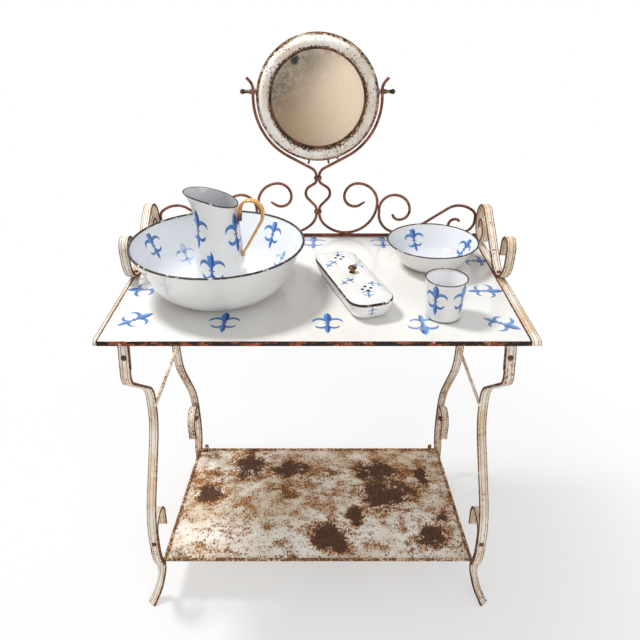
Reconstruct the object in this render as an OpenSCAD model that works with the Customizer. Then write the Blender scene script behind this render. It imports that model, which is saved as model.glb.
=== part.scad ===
// Wash basin stand of moulded iron strap: an enamelled table top on four lyre-shaped legs,
// a low shelf, scrolled back irons that carry a tilting round mirror, and a loose set of
// enamel vessels. x runs to the right, y to the back and z up. The origin is on the floor
// at the middle of the plan.

/* [Table] */
// Width over the two side bars
frame_width = 840; // [760:5:1010]
// Depth from the front edge to the plane of the back irons
frame_depth = 512; // [470:2:620]
// Height of the enamel surface above the floor
table_height = 795; // [660:5:960]
// Width of the enamelled plate
plate_width = 811; // [730:1:980]
// How far the plate sits to the left of the middle
plate_shift = 6; // [0:1:10]
// Sheet thickness of the plate
plate_t = 1.6; // [1:0.2:3]
// Depth of the turned-down lip
lip_drop = 11; // [6:1:20]
// Width of the flat cross bars under the plate
cross_bar_w = 25; // [15:1:35]
// Thickness of the cross bars
cross_bar_t = 4; // [3:0.5:6]
// Front edge of the cross bar behind the lip
cross_bar_inset = 13; // [12:1:30]
// Thickness of the back rail
rail_t = 7; // [5:0.5:10]
// Top of the back rail above the enamel
rail_top = 6; // [3:0.5:12]

/* [Moulded strap] */
// Thickness over the reeds
strap_t = 6; // [4:0.5:9]
// Width of the leg strap
leg_strap_w = 21; // [16:0.5:28]
// Width of the side bar and side scroll strap
side_strap_w = 20; // [16:0.5:28]
// Depth of the two grooves between the reeds
reed_groove = 0.8; // [0.4:0.1:1.2]

/* [Legs] */
// Distance of the leg middle from the centre line at the top
leg_top_x = 369; // [320:1:460]
// Middle of the leg top behind the front edge
leg_top_y = 20; // [16:1:40]
// How much closer to the middle the rear legs stand
rear_leg_in = 2; // [0:0.5:6]
// Sideways lean of the front legs in degrees
front_splay = 1.66; // [0:0.1:3]
// Forward lean of the leg top in degrees
leg_top_lean = 9.9; // [0:0.1:15]
// Slope of the shoulder below the level
shoulder_slope = 40; // [30:1:50]
// Bend radius between leg top and shoulder
knee_r = 35; // [20:1:60]
// Bend radius between shoulder and waist
waist_r = 70; // [40:1:120]
// Slope of the calf from the upright
calf_slope = 33; // [20:1:38]
// Plan direction of the toe, outward from straight ahead
toe_plan = 40; // [0:1:60]
// Length of the bracket behind the leg top
bracket_drop = 58; // [40:1:60]
// Thickness of the angle brackets
bracket_t = 4; // [3:0.5:6]
// Diameter of the tie bars
tie_bar_d = 8; // [5:0.5:12]
// Diameter of the leg bolts
bolt_d = 6; // [4:0.5:8]

/* [Shelf] */
// Shelf surface below the enamel surface
shelf_drop = 678; // [560:1:820]
// Half width of the shelf at the front
shelf_front_half = 386; // [330:1:470]
// Half width of the shelf at the back
shelf_back_half = 365; // [310:1:450]
// Diameter of the rolled rim
shelf_rim_d = 8; // [5:0.5:12]
// Sheet thickness of the shelf
shelf_t = 1.6; // [1:0.2:3]

/* [Side scrolls] */
// Upper slope of the long diagonal
diagonal_slope = 33.8; // [25:0.1:42]
// Length of the long diagonal
diagonal_run = 142; // [110:1:175]
// Outer bend radius of the rear loop
rear_loop_r = 44; // [35:0.5:55]
// Outer bend radius of the front loop
front_loop_r = 55; // [45:0.5:65]

/* [Back irons] */
// Diameter of the round rods
rod_d = 7; // [5:0.5:10]
// Radius of the two arms around the mirror
yoke_r = 149; // [147:0.5:170]
// Height of the mirror middle above the enamel
mirror_z = 337; // [320:1:400]
// Largest half width of the baluster
baluster_half = 30; // [22:1:40]
// Radius of the large scroll beside the foot of the baluster
large_scroll_r = 79; // [65:0.5:90]
// Height of the collars
collar_h = 7; // [4:0.5:9]

/* [Mirror] */
// Outer radius of the mirror ring
mirror_r = 142; // [120:0.5:143]
// Radius of the glass that shows
glass_show_r = 107; // [85:0.5:112]
// How far the ring bulges forward
ring_bulge = 20; // [10:0.5:28]
// Thickness of the glass
glass_t = 3; // [2:0.5:5]
// Height of the pivots above the mirror middle
pivot_rise = 17; // [5:1:30]
// Diameter of the pivot pins
pivot_d = 5; // [4:0.5:6]

/* [Basin and jug] */
// Radius of the basin rim
basin_r = 181; // [150:1:184]
// Height of the basin
basin_h = 113; // [90:1:135]
// Basin middle to the left of the centre line
basin_x = 207; // [200:1:210]
// Basin middle behind the front edge
basin_y = 213; // [200:1:240]
// Jug radius at the foot
jug_foot_r = 57; // [45:0.5:68]
// Jug radius at the neck
jug_neck_r = 41; // [33:0.5:50]
// Mean height of the slanted jug rim
jug_h = 202; // [168:1:242]
// Rise of the spout above the mean rim height
jug_slant = 14; // [0:1:25]
// Width of the jug handle
handle_w = 17; // [10:0.5:22]
// Turn of the jug handle round the jug, negative towards the front
handle_turn = -15; // [-40:1:0]

/* [Small vessels] */
// Radius of the bowl rim
bowl_r = 104; // [87:1:120]
// Height of the bowl
bowl_h = 62; // [50:1:75]
// Radius of the cup rim
cup_r = 41.5; // [34:0.5:50]
// Height of the cup
cup_h = 85; // [70:1:102]
// Length of the soap dish
dish_l = 264; // [220:1:300]
// Width of the soap dish
dish_w = 95; // [80:1:110]
// Height of the soap dish without its lid
dish_h = 36; // [30:0.5:44]
// Corner radius of the soap dish
dish_corner_r = 35; // [28:0.5:40]
// Rise of the lid above its edge
lid_rise = 9; // [5:0.5:14]
// Diameter of the drain holes in the lid
drain_d = 5; // [3:0.5:8]
// Sheet thickness of the vessels
vessel_t = 1.6; // [1.2:0.1:2.5]

/* [Fits] */
// Gap under every loose vessel and lid
rest_gap = 0.3; // [0.2:0.05:0.5]
// Gap between parts that are fixed together
seat_gap = 0.05; // [0.02:0.01:0.2]
// Clearance of bolts and rivets in their holes, on the diameter
bolt_clear = 0.3; // [0.2:0.05:0.6]
// Clearance of the pivot pins in the yoke eyes, on the diameter
pivot_clear = 0.8; // [0.6:0.1:1.5]

/* [Hidden] */
$fn = 64;

iron = "#7a3b22";
cream = "#e6d9c2";
enamel = "#f3f0e8";
bluish = "#e9edf2";
steel = "#6b6259";

// Derived levels and places
pan_depth = 8;
plan_depth = frame_depth + pan_depth;
front_y = -plan_depth/2;
half_w = frame_width/2;
wide_k = frame_width/840;
tall_k = table_height/795;
leg_k = tall_k*shelf_drop/678;
plate_w = plate_width + frame_width - 840;
side_x = half_w - side_strap_w/2;
bar_top = -plate_t;
cross_top = bar_top - strap_t;
bracket_top = cross_top - cross_bar_t;
leg_top_z = bracket_top - bracket_t;
pivot_z = mirror_z + pivot_rise;
pivot_x = sqrt(yoke_r*yoke_r - pivot_rise*pivot_rise);
rod_z = rail_top + rod_d/2 + seat_gap;
leg_step = strap_t + seat_gap;

// Plane paths. A step is [length] for a straight run or [radius, turn] for an arc, with the
// turn in degrees and positive to the left.
function fwd(h) = [cos(h), sin(h)];
function left(h) = [-sin(h), cos(h)];
function unit(v) = v/norm(v);
function step_end(p, h, s) = len(s) == 1 ? p + s[0]*fwd(h)
  : p + s[0]*sign(s[1])*(left(h) - left(h + s[1]));
function step_turn(s) = len(s) == 1 ? 0 : s[1];
function stations(p, h, steps, i = 0) = i == len(steps) ? [[p, h]]
  : concat([[p, h]], stations(step_end(p, h, steps[i]), h + step_turn(steps[i]), steps, i + 1));
function pieces(s, per) = len(s) == 1 ? 1 : max(2, ceil(abs(s[1])/per));
function on_step(p, h, s, t) = len(s) == 1 ? [p + t*s[0]*fwd(h), h]
  : [p + s[0]*sign(s[1])*(left(h) - left(h + t*s[1])), h + t*s[1]];
function samples(p, h, steps, per) = let (at = stations(p, h, steps), n = len(steps))
  concat([for (i = [0:n - 1]) let (m = pieces(steps[i], per)) for (k = [0:m - 1])
    on_step(at[i][0], at[i][1], steps[i], k/m)], [at[n]]);
function side_line(run, off) = [for (q = run) q[0] + off*left(q[1])];
function reversed(v) = [for (i = [len(v) - 1:-1:0]) v[i]];
function band(run, t) = concat(side_line(run, t/2), reversed(side_line(run, -t/2)));

// A strap in the side plane: 2-D x becomes y and 2-D y becomes z.
module strap_layer(run, t, x0, x1)
  translate([x0, 0, 0]) rotate([90, 0, 90]) linear_extrude(x1 - x0) polygon(band(run, t));
module moulded_strap(run, w) {
  strap_layer(run, strap_t - 2*reed_groove, -w*0.3, w*0.3);
  strap_layer(run, strap_t, -w*0.17, w*0.17);
  strap_layer(run, strap_t, -w/2, -w*0.24);
  strap_layer(run, strap_t, w*0.24, w/2);
}

// A closed skin through rings of equal point count, capped at both ends.
module skin(rings) {
  n = len(rings);
  m = len(rings[0]);
  polyhedron(points = [for (r = rings) each r],
    faces = concat([[for (j = [0:m - 1]) j]],
      [for (i = [0:n - 2]) for (j = [0:m - 1]) let (a = i*m + j, b = i*m + (j + 1)%m)
        each [[a, a + m, b + m], [a, b + m, b]]],
      [[for (j = [m - 1:-1:0]) (n - 1)*m + j]]));
}
// A sweep of a section along frames [point, direction, width direction, width scale,
// thickness scale].
function frame_ring(f, sec) = let (w = unit(f[2] - (f[2]*f[1])*f[1]), n = cross(f[1], w))
  [for (q = sec) f[0] + f[3]*q[0]*w + f[4]*q[1]*n];
// A closed hoop through rings of equal point count.
module hoop(rings) {
  n = len(rings);
  m = len(rings[0]);
  polyhedron(points = [for (r = rings) each r],
    faces = [for (i = [0:n - 1]) for (j = [0:m - 1]) let (c = (i + 1)%n, k = (j + 1)%m)
      [i*m + j, c*m + j, c*m + k, i*m + k]]);
}
module sweep(frames, sec) skin([for (f = frames) frame_ring(f, sec)]);
function round_sec(d, n = 8) = [for (k = [0:n - 1]) d/2*[cos(360*k/n), sin(360*k/n)]];
function front_frames(run) = [for (q = run) [[q[0][0], 0, q[0][1]],
  [cos(q[1]), 0, sin(q[1])], [0, 1, 0], 1, 1]];
function side_frames(run) = [for (q = run) [[0, q[0][0], q[0][1]],
  [0, cos(q[1]), sin(q[1])], [1, 0, 0], 1, 1]];

// Placement helpers
module on_table() translate([0, front_y, table_height]) children();
module mirrored_x(on) if (on) mirror([1, 0, 0]) children(); else children();
module both_sides() {
  children();
  mirror([1, 0, 0]) children();
}
module corner(is_left, is_rear)
  translate([0, front_y + (is_rear ? frame_depth : 0), table_height])
  mirrored_x(is_left) rear_flip(is_rear) children();
module rear_flip(on) if (on) mirror([0, 1, 0]) children(); else children();
module four_corners() for (is_left = [true, false]) for (is_rear = [true, false])
  corner(is_left, is_rear) leg_plane(is_rear) children();
// The leg plane leans out at the front and stands upright at the back.
module leg_plane(is_rear) translate([leg_top_x*wide_k - (is_rear ? rear_leg_in : 0), 0, leg_top_z])
  rotate([0, is_rear ? 0 : -front_splay, 0]) translate([0, 0, -leg_top_z]) children();

// Leg and foot centre lines, y from the front edge and z from the enamel
top_lean = -90 - leg_top_lean;
calf_run = 124*leg_k - (1 - leg_k)*40;
leg_steps = [[64*leg_k], [knee_r*leg_k, 90 - shoulder_slope + leg_top_lean], [124.6*leg_k],
  [waist_r*leg_k, shoulder_slope - 90], [20*leg_k], [150*leg_k, -calf_slope], [calf_run],
  [188*leg_k, calf_slope], [42*leg_k], [150*leg_k, 30]];
leg_start = [leg_top_y, leg_top_z - seat_gap - strap_t/2*sin(leg_top_lean)
  - leg_strap_w/2*sin(front_splay)];
leg_run = samples(leg_start, top_lean, leg_steps, 8);
leg_at = stations(leg_start, top_lean, leg_steps);
waist_mid = (leg_at[4][0] + leg_at[5][0])/2;
bolt_mid = (leg_at[8][0] + leg_at[9][0])/2;
hook_r = 37;
hook_end = leg_at[9][0] + [leg_step + 2*hook_r, 0];
foot_steps = [[40*leg_k], [hook_r, 180], [40*leg_k], [150*leg_k - leg_step, 30], [30, -30]];
foot_upper = samples(hook_end, 90, foot_steps, 8);
ankle = foot_upper[len(foot_upper) - 1][0];
toe_d = 9;
toe_turn = 38;
toe_bend_r = 150*tall_k;
toe_start = 5*tall_k;
toe_sink = 2.1;
toe_drop = table_height + ankle[1] - toe_start - toe_bend_r*sin(toe_turn) - toe_d/2 + toe_sink;
toe_steps = [[toe_start], [toe_bend_r, toe_turn], [toe_drop/cos(toe_turn)]];
foot_lower = samples([0, ankle[1]], -90, toe_steps, 6);
function ease(t) = t < 0 ? 0 : t > 1 ? 1 : t*t*(3 - 2*t);
function toe_frame(q) = let (tw = toe_plan*ease((ankle[1] - q[0][1])/(45*tall_k)))
  [[q[0][0]*sin(toe_plan), ankle[0] - q[0][0]*cos(toe_plan), q[0][1]],
  [cos(q[1])*sin(toe_plan), -cos(q[1])*cos(toe_plan), sin(q[1])], [cos(tw), sin(tw), 0], 1, 1];
toe_tip = toe_frame(foot_lower[len(foot_lower) - 1]);
toe_roll = [[-7, 1], [-3.5, 1.3], [0, 1.5], [2.5, 1.3], [4, 0.75]];
foot_frames = concat(side_frames(foot_upper),
  [for (i = [1:len(foot_lower) - 2]) toe_frame(foot_lower[i])],
  [for (q = toe_roll) [toe_tip[0] + q[0]*toe_tip[1], toe_tip[1], toe_tip[2], 1, q[1]]]);
strap_sec = [[-leg_strap_w/2, -strap_t/2], [leg_strap_w/2, -strap_t/2],
  [leg_strap_w/2, strap_t/2], [leg_strap_w*0.24, strap_t/2],
  [leg_strap_w*0.24, strap_t/2 - reed_groove], [leg_strap_w*0.17, strap_t/2 - reed_groove],
  [leg_strap_w*0.17, strap_t/2], [-leg_strap_w*0.17, strap_t/2],
  [-leg_strap_w*0.17, strap_t/2 - reed_groove], [-leg_strap_w*0.24, strap_t/2 - reed_groove],
  [-leg_strap_w*0.24, strap_t/2], [-leg_strap_w/2, strap_t/2]];
shelf_edge_y = ankle[0] + strap_t/2 + seat_gap;

// Points on the legs where bolts and rivets pass, with the axis along local z to the front
module on_leg(p, h) translate([0, p[0], p[1]]) rotate([180 + h, 0, 0]) children();
module at_leg_bolt() on_leg(leg_at[0][0] + 30*fwd(top_lean), top_lean) children();
module at_foot_bolt() on_leg(bolt_mid, -90) children();
module at_waist() on_leg(waist_mid, -90) children();
module at_shelf_rivet() translate([-rivet_in, 0, 0]) on_leg([ankle[0], -shelf_drop*tall_k], -90) children();
rivet_in = 6.5;
rivet_d = 5;
tie_x = (leg_top_x - 2)*wide_k;

module leg(is_left, is_rear) color(cream) difference() {
  corner(is_left, is_rear) leg_plane(is_rear) difference() {
    moulded_strap(leg_run, leg_strap_w);
    at_leg_bolt() cylinder(d = bolt_d + bolt_clear, h = 30, center = true);
    at_foot_bolt() cylinder(d = bolt_d + bolt_clear, h = 30, center = true);
  }
  corner(is_left, is_rear) translate([tie_x, waist_mid[0], waist_mid[1]]) rotate([90, 0, 0])
    cylinder(d = tie_bar_d - 2 + bolt_clear, h = 30, center = true);
}
module leg_front_left() leg(true, false);
module leg_front_right() leg(false, false);
module leg_rear_left() leg(true, true);
module leg_rear_right() leg(false, true);

// Each toe is ground flat on the floor.
module foot(is_left, is_rear) color(cream) corner(is_left, is_rear) difference() {
  leg_plane(is_rear) difference() {
    sweep(foot_frames, strap_sec);
    at_foot_bolt() cylinder(d = bolt_d + bolt_clear, h = 40, center = true);
    at_shelf_rivet() cylinder(d = rivet_d + bolt_clear, h = 24, center = true);
  }
  translate([leg_top_x*wide_k - 60, -60, -table_height - 20]) cube([200, 200, 20]);
}
module foot_front_left() foot(true, false);
module foot_front_right() foot(false, false);
module foot_rear_left() foot(true, true);
module foot_rear_right() foot(false, true);

// Bolts: domed head in front, shank, hexagon nut behind
module bolt(front, back, d) {
  translate([0, 0, front]) domed_head(d);
  translate([0, 0, -back]) cylinder(d = d, h = front + back);
}
module domed_head(d) intersection() {
  cylinder(d = 2*d, h = d);
  translate([0, 0, -d*0.9]) sphere(d = 3.2*d);
}
leg_bolt_back = strap_t/2 + 2*seat_gap + bracket_t;
module leg_bolts() color(steel) four_corners() at_leg_bolt() {
  bolt(strap_t/2 + seat_gap, leg_bolt_back + 8, bolt_d);
  translate([0, 0, -leg_bolt_back - 0.8*bolt_d]) cylinder(d = 2.1*bolt_d, h = 0.8*bolt_d, $fn = 6);
}
foot_bolt_back = strap_t*1.5 + 2*seat_gap;
module foot_bolts() color(steel) four_corners() at_foot_bolt() {
  bolt(strap_t/2 + seat_gap, foot_bolt_back + 14, bolt_d);
  translate([0, 0, -foot_bolt_back - 0.8*bolt_d]) cylinder(d = 2.1*bolt_d, h = 0.8*bolt_d, $fn = 6);
}

// Tie bars run between the waists and are riveted over in front of the straps.
module tie_bar(is_left) color(cream) on_table() mirrored_x(is_left) {
  y0 = waist_mid[0] + strap_t/2 + seat_gap;
  y1 = frame_depth - y0;
  translate([tie_x, y0, waist_mid[1]]) rotate([-90, 0, 0]) cylinder(d = tie_bar_d, h = y1 - y0);
  translate([tie_x, y0 - strap_t - 2, waist_mid[1]]) rotate([-90, 0, 0])
    cylinder(d = tie_bar_d - 2, h = y1 - y0 + 2*strap_t + 4);
  for (y = [y0 - strap_t - seat_gap*2, y1 + strap_t + seat_gap*2 + 2.4])
    translate([tie_x, y, waist_mid[1]]) rotate([90, 0, 0]) cylinder(d = tie_bar_d + 2, h = 2.4);
}
module tie_bar_left() tie_bar(true);
module tie_bar_right() tie_bar(false);

module top_plate() color(enamel) on_table() {
  x0 = -plate_w/2 - plate_shift;
  plate_d = frame_depth - rod_d/2 - 2.5;
  translate([x0, 0, -plate_t]) difference() {
    cube([plate_w, plate_d, plate_t]);
    for (x = [plate_shift + plate_w/2 - side_x, plate_shift + plate_w/2 + side_x])
      translate([x, scroll_y, -1]) cylinder(d = bolt_d + bolt_clear, h = plate_t + 2);
  }
  translate([x0, 0, -lip_drop]) cube([plate_w, plate_t, lip_drop]);
  translate([-half_w + side_strap_w + 0.5, plate_d - plate_t, -lip_drop*0.6])
    cube([frame_width - 2*side_strap_w - 1, plate_t, lip_drop*0.6]);
}
// The side bars turn down behind the ends of the lip.
bar_bend_r = 7.4;
bar_front = plate_t + 0.6 + strap_t/2;
bar_run = samples([bar_front, bar_top - strap_t/2 - bar_bend_r], 90,
  [[bar_bend_r, -90], [frame_depth + rail_t/2 - bar_front - bar_bend_r]], 9);
module side_bar(is_left) color(cream) on_table() mirrored_x(is_left) difference() {
  translate([side_x, 0, 0]) moulded_strap(bar_run, side_strap_w);
  translate([side_x, scroll_y, bar_top - strap_t - 1])
    cylinder(d = bolt_d + bolt_clear, h = strap_t + 2);
}
module side_bar_left() side_bar(true);
module side_bar_right() side_bar(false);
module cross_bar(y) color(iron) on_table()
  translate([-half_w + 2, y, cross_top - cross_bar_t]) cube([frame_width - 4, cross_bar_w, cross_bar_t]);
module front_cross_bar() cross_bar(cross_bar_inset);
module rear_cross_bar() cross_bar(frame_depth - cross_bar_inset - cross_bar_w);
module back_rail() color(iron) on_table()
  translate([-half_w, frame_depth - rail_t/2, bar_top]) cube([frame_width, rail_t, rail_top - bar_top]);

// Angle brackets: one flange under the cross bar, one behind the leg top
module bracket(is_left, is_rear) color(iron) corner(is_left, is_rear) {
  translate([leg_top_x*wide_k - 31, cross_bar_inset, leg_top_z])
    cube([42, cross_bar_w, bracket_t]);
  difference() {
    leg_plane(is_rear) on_leg(leg_at[0][0], top_lean)
      translate([-leg_strap_w/2, -bracket_drop*leg_k, -strap_t/2 - seat_gap - bracket_t])
      cube([leg_strap_w, bracket_drop*leg_k + 2.5, bracket_t]);
    leg_plane(is_rear) at_leg_bolt() cylinder(d = bolt_d + bolt_clear, h = 40, center = true);
  }
}
module bracket_front_left() bracket(true, false);
module bracket_front_right() bracket(false, false);
module bracket_rear_left() bracket(true, true);
module bracket_rear_right() bracket(false, true);

// Shelf: a sheet with a rolled rim, wider at the front
shelf_z = -shelf_drop*tall_k;
shelf_r = shelf_rim_d/2;
shelf_y0 = shelf_edge_y + shelf_r;
shelf_y1 = frame_depth - shelf_y0;
shelf_skew = atan((shelf_front_half - shelf_back_half)*wide_k/(shelf_y1 - shelf_y0));
shelf_f = shelf_front_half*wide_k - shelf_r;
shelf_b = shelf_back_half*wide_k - shelf_r;
function shelf_outline(d, z) = let (f = shelf_f + d*(1/cos(shelf_skew) + tan(shelf_skew)),
  b = shelf_b + d*(1/cos(shelf_skew) - tan(shelf_skew)))
  [[-f, shelf_y0 - d, z], [f, shelf_y0 - d, z], [b, shelf_y1 + d, z], [-b, shelf_y1 + d, z]];
rim_rings = [for (c = [0:3]) [for (k = [0:11])
  shelf_outline(shelf_r*cos(30*k), -shelf_r*sin(30*k))[c]]];
module shelf() color(enamel) difference() {
  on_table() translate([0, 0, shelf_z]) {
    translate([0, 0, -shelf_t]) linear_extrude(shelf_t)
      polygon([for (q = shelf_outline(-1, 0)) [q[0], q[1]]]);
    hoop(rim_rings);
  }
  four_corners() at_shelf_rivet() cylinder(d = rivet_d + bolt_clear, h = 40, center = true);
}
rivet_back = strap_t/2 + 2*seat_gap + shelf_rim_d + 0.4;
module shelf_rivets() color(steel) four_corners() at_shelf_rivet()
  bolt(strap_t/2 + 2.2, rivet_back + 1, rivet_d);
// Short strap lugs that stand on the shelf inboard of the rear legs
module shelf_lugs() color(cream) on_table() both_sides()
  translate([leg_top_x*wide_k - rear_leg_in - 34, shelf_y1 - shelf_r - strap_t - 1, shelf_z + seat_gap]) {
    cube([10, strap_t, 25]);
    cube([22, strap_t, 6]);
  }

// Side scrolls stand on the left plate edge and on the right side bar.
scroll_y = 285;
front_eye_r = 22;
scroll_steps = [[26], [front_eye_r, 180], [22], [front_loop_r, 90], [60, diagonal_slope],
  [diagonal_run], [rear_loop_r, -diagonal_slope - 180], [27, -180], [13, -90], [12]];
scroll_start = [scroll_y - front_loop_r + 2*front_eye_r, front_loop_r - 4];
function scroll_run(seat) = samples([scroll_start[0], seat + strap_t/2 + seat_gap + scroll_start[1]],
  90, scroll_steps, 10);
module side_scroll(is_left) {
  seat = is_left ? 0 : bar_top;
  color(cream) on_table() mirrored_x(is_left) difference() {
    translate([side_x, 0, 0]) moulded_strap(scroll_run(seat), side_strap_w);
    translate([side_x, scroll_y, seat - 1]) cylinder(d = bolt_d + bolt_clear, h = strap_t + 3);
  }
}
module side_scroll_left() side_scroll(true);
module side_scroll_right() side_scroll(false);
module scroll_rivets() color(steel) on_table() for (is_left = [true, false]) {
  seat = is_left ? 0 : bar_top;
  mirrored_x(is_left) translate([side_x, scroll_y, 0]) {
    translate([0, 0, seat + strap_t + 0.6]) domed_head(bolt_d);
    translate([0, 0, cross_top - 4]) cylinder(d = bolt_d, h = seat - cross_top + strap_t + 4.8);
    translate([0, 0, cross_top - 3.5 - seat_gap]) cylinder(d = 2*bolt_d, h = 3.5);
  }
}

// Back irons: the right half is drawn as plane paths, x sideways and z up, and mirrored.
// The long rod runs from the flared tip round the mirror, through the baluster and into
// the large scroll on the rail.
neck_x = rod_d/2 + seat_gap;
tip_turn = 51.6;
tip_r = 30;
arm_start = atan(pivot_rise/pivot_x) - 90;
arm_turn = 62 + atan(pivot_rise/pivot_x);
tip_start = [pivot_x, pivot_z] - tip_r*(left(arm_start - tip_turn) - left(arm_start))
  - 8*fwd(arm_start - tip_turn);
neck_r = 22;
neck_run = (yoke_r*cos(62) - neck_r*(1 - cos(62)) - neck_x)/sin(62);
neck_end_z = mirror_z - yoke_r*sin(62) - neck_run*cos(62) - neck_r*sin(62);
upper_straight = 9;
flare_r = 12;
flare_turn = 58;
belly_r = 20;
return_turn = 44;
belly_run = (baluster_half - neck_x - (flare_r + belly_r)*(1 - cos(flare_turn)))/sin(flare_turn);
foot_run = (baluster_half - neck_x - 2*belly_r*(1 - cos(return_turn)))/sin(return_turn);
baluster_drop = (flare_r + belly_r)*sin(flare_turn) + belly_run*cos(flare_turn)
  + 2*belly_r*sin(return_turn) + foot_run*cos(return_turn);
lower_start_z = neck_end_z - upper_straight - baluster_drop;
curl_r = 43.5;
sole_r = 76;
lower_straight = lower_start_z - rod_z - curl_r*sin(45) - sole_r*(1 - cos(45));
scroll_r = large_scroll_r*wide_k;
long_steps = [[8], [tip_r, tip_turn], [yoke_r, -arm_turn], [neck_run], [neck_r, 62],
  [upper_straight], [flare_r, flare_turn], [belly_run], [belly_r, -flare_turn - return_turn],
  [foot_run], [belly_r, return_turn], [lower_straight], [curl_r, 45], [sole_r, 45],
  [scroll_r, 90], [scroll_r*0.633, 90], [scroll_r*0.418, 90], [scroll_r*0.33, 123], [14]];
long_run = samples(tip_start, arm_start - tip_turn, long_steps, 10);
long_right_x = neck_x + curl_r*(1 - cos(45)) + sole_r*sin(45) + scroll_r;
module in_back_plane() translate([0, front_y + frame_depth, table_height]) children();
eye_d = 12;
eye_in = rod_d/2;
eye_out = rod_d/2 + 1.5;
module long_rod(is_left) color(iron) in_back_plane() mirrored_x(is_left) difference() {
  union() {
    sweep(front_frames(long_run), round_sec(rod_d));
    translate([pivot_x - eye_in, 0, pivot_z]) rotate([0, 90, 0])
      cylinder(d = eye_d, h = eye_in + eye_out);
  }
  translate([pivot_x - 2*rod_d, 0, pivot_z]) rotate([0, 90, 0])
    cylinder(d = pivot_d + pivot_clear, h = 4*rod_d);
}
module long_rod_left() long_rod(true);
module long_rod_right() long_rod(false);

// The middle scroll rises from the rail against the large scroll.
mid_foot_r = 50*wide_k;
mid_rise = 12.5*wide_k;
mid_lean = rod_z + mid_foot_r + mid_rise;
mid_left_x = long_right_x - scroll_r
  + sqrt(pow(scroll_r + rod_d + 2*seat_gap, 2) - pow(rod_z + scroll_r - mid_lean, 2));
mid_steps = [[mid_foot_r, -90], [mid_rise], [37*wide_k, -90], [40*wide_k, -90],
  [25*wide_k, -90], [18*wide_k, -80]];
module middle_scroll(is_left) color(iron) in_back_plane() mirrored_x(is_left)
  sweep(front_frames(samples([mid_left_x + mid_foot_r, rod_z], 180, mid_steps, 10)),
    round_sec(rod_d));
module middle_scroll_left() middle_scroll(true);
module middle_scroll_right() middle_scroll(false);

// The outer scroll leans on the strap of the side scroll.
outer_right_x = half_w - side_strap_w - 0.5;
outer_top = [353.5*wide_k, rod_z + 7 + 57.6 + 7.5];
crown_a = 60*wide_k;
crown_c = (outer_right_x - outer_top[0] - crown_a*sin(40))/(1 - sin(40));
outer_rise = 103;
outer_z = rod_z + 40*(1 - cos(34)) + outer_rise*sin(34) + 45*(1 - cos(34));
drop_r = outer_z - rod_z - crown_a*(1 - cos(40)) - crown_c*(sin(90) - sin(0))*cos(40) - 10;
outer_x0 = outer_top[0] - (40 + 45)*sin(34) - outer_rise*cos(34);
outer_steps = [[40, 34], [outer_rise], [45, -34], [crown_a, -40], [crown_c, -50], [10],
  [drop_r, -90], [14], [20, -90], [16, -90], [13, -60]];
module outer_scroll(is_left) color(iron) in_back_plane() mirrored_x(is_left)
  sweep(front_frames(samples([outer_x0, rod_z], 0, outer_steps, 10)), round_sec(rod_d));
module outer_scroll_left() outer_scroll(true);
module outer_scroll_right() outer_scroll(false);

// Collars bind the two long rods above and below the baluster.
module slot_shape(grow) {
  square([2*neck_x, rod_d + 2*grow], center = true);
  for (s = [-1, 1]) translate([s*neck_x, 0]) circle(d = rod_d + 2*grow, $fn = 32);
}
module collar(z) color(iron) in_back_plane() translate([0, 0, z - collar_h/2])
  linear_extrude(collar_h) difference() {
    slot_shape(2.6);
    slot_shape(0.1);
  }
module upper_collar() collar(neck_end_z - upper_straight/2);
module lower_collar() collar(lower_start_z - max(lower_straight, collar_h)/2);

// Mirror, drawn about its own axis with local z to the front
module mirror_axis() in_back_plane() translate([0, 0, mirror_z]) rotate([90, 0, 0]) children();
bulge_mid_r = (mirror_r - 6 + glass_show_r + 3)/2;
bulge_half = (mirror_r - 6 - glass_show_r - 3)/2;
ring_t = 1.5;
function bulge(a, z0) = [for (k = [0:12])
  [bulge_mid_r + a*cos(15*k), z0 + (ring_bulge - ring_t)*sin(15*k)]];
module mirror_ring() color(enamel) mirror_axis() rotate_extrude($fn = 128) polygon(concat(
  [[mirror_r, 0], [mirror_r, ring_t]], bulge(bulge_half, ring_t),
  [[glass_show_r, ring_t], [glass_show_r, 0]], reversed(bulge(bulge_half - ring_t, 0))));
glass_r = glass_show_r + 3;
backing_t = pan_depth - 1 - glass_t;
module mirror_glass() color("#b8a98c") mirror_axis()
  translate([0, 0, -glass_t - seat_gap]) cylinder(r = glass_r, h = glass_t, $fn = 128);
module mirror_backing() color("#8a6a45") mirror_axis()
  translate([0, 0, -glass_t - 2*seat_gap - backing_t + 0.1])
  cylinder(r = glass_r - 1, h = backing_t - 0.1, $fn = 128);
module mirror_pan() color(iron) mirror_axis() rotate_extrude($fn = 128)
  polygon([[0, -pan_depth], [glass_r + 4, -pan_depth], [mirror_r - 8, -1 - seat_gap],
    [mirror_r - 2, -1 - seat_gap], [mirror_r - 2, -seat_gap], [mirror_r - 9, -seat_gap],
    [glass_r + 3, -pan_depth + 1], [0, -pan_depth + 1]]);
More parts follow.
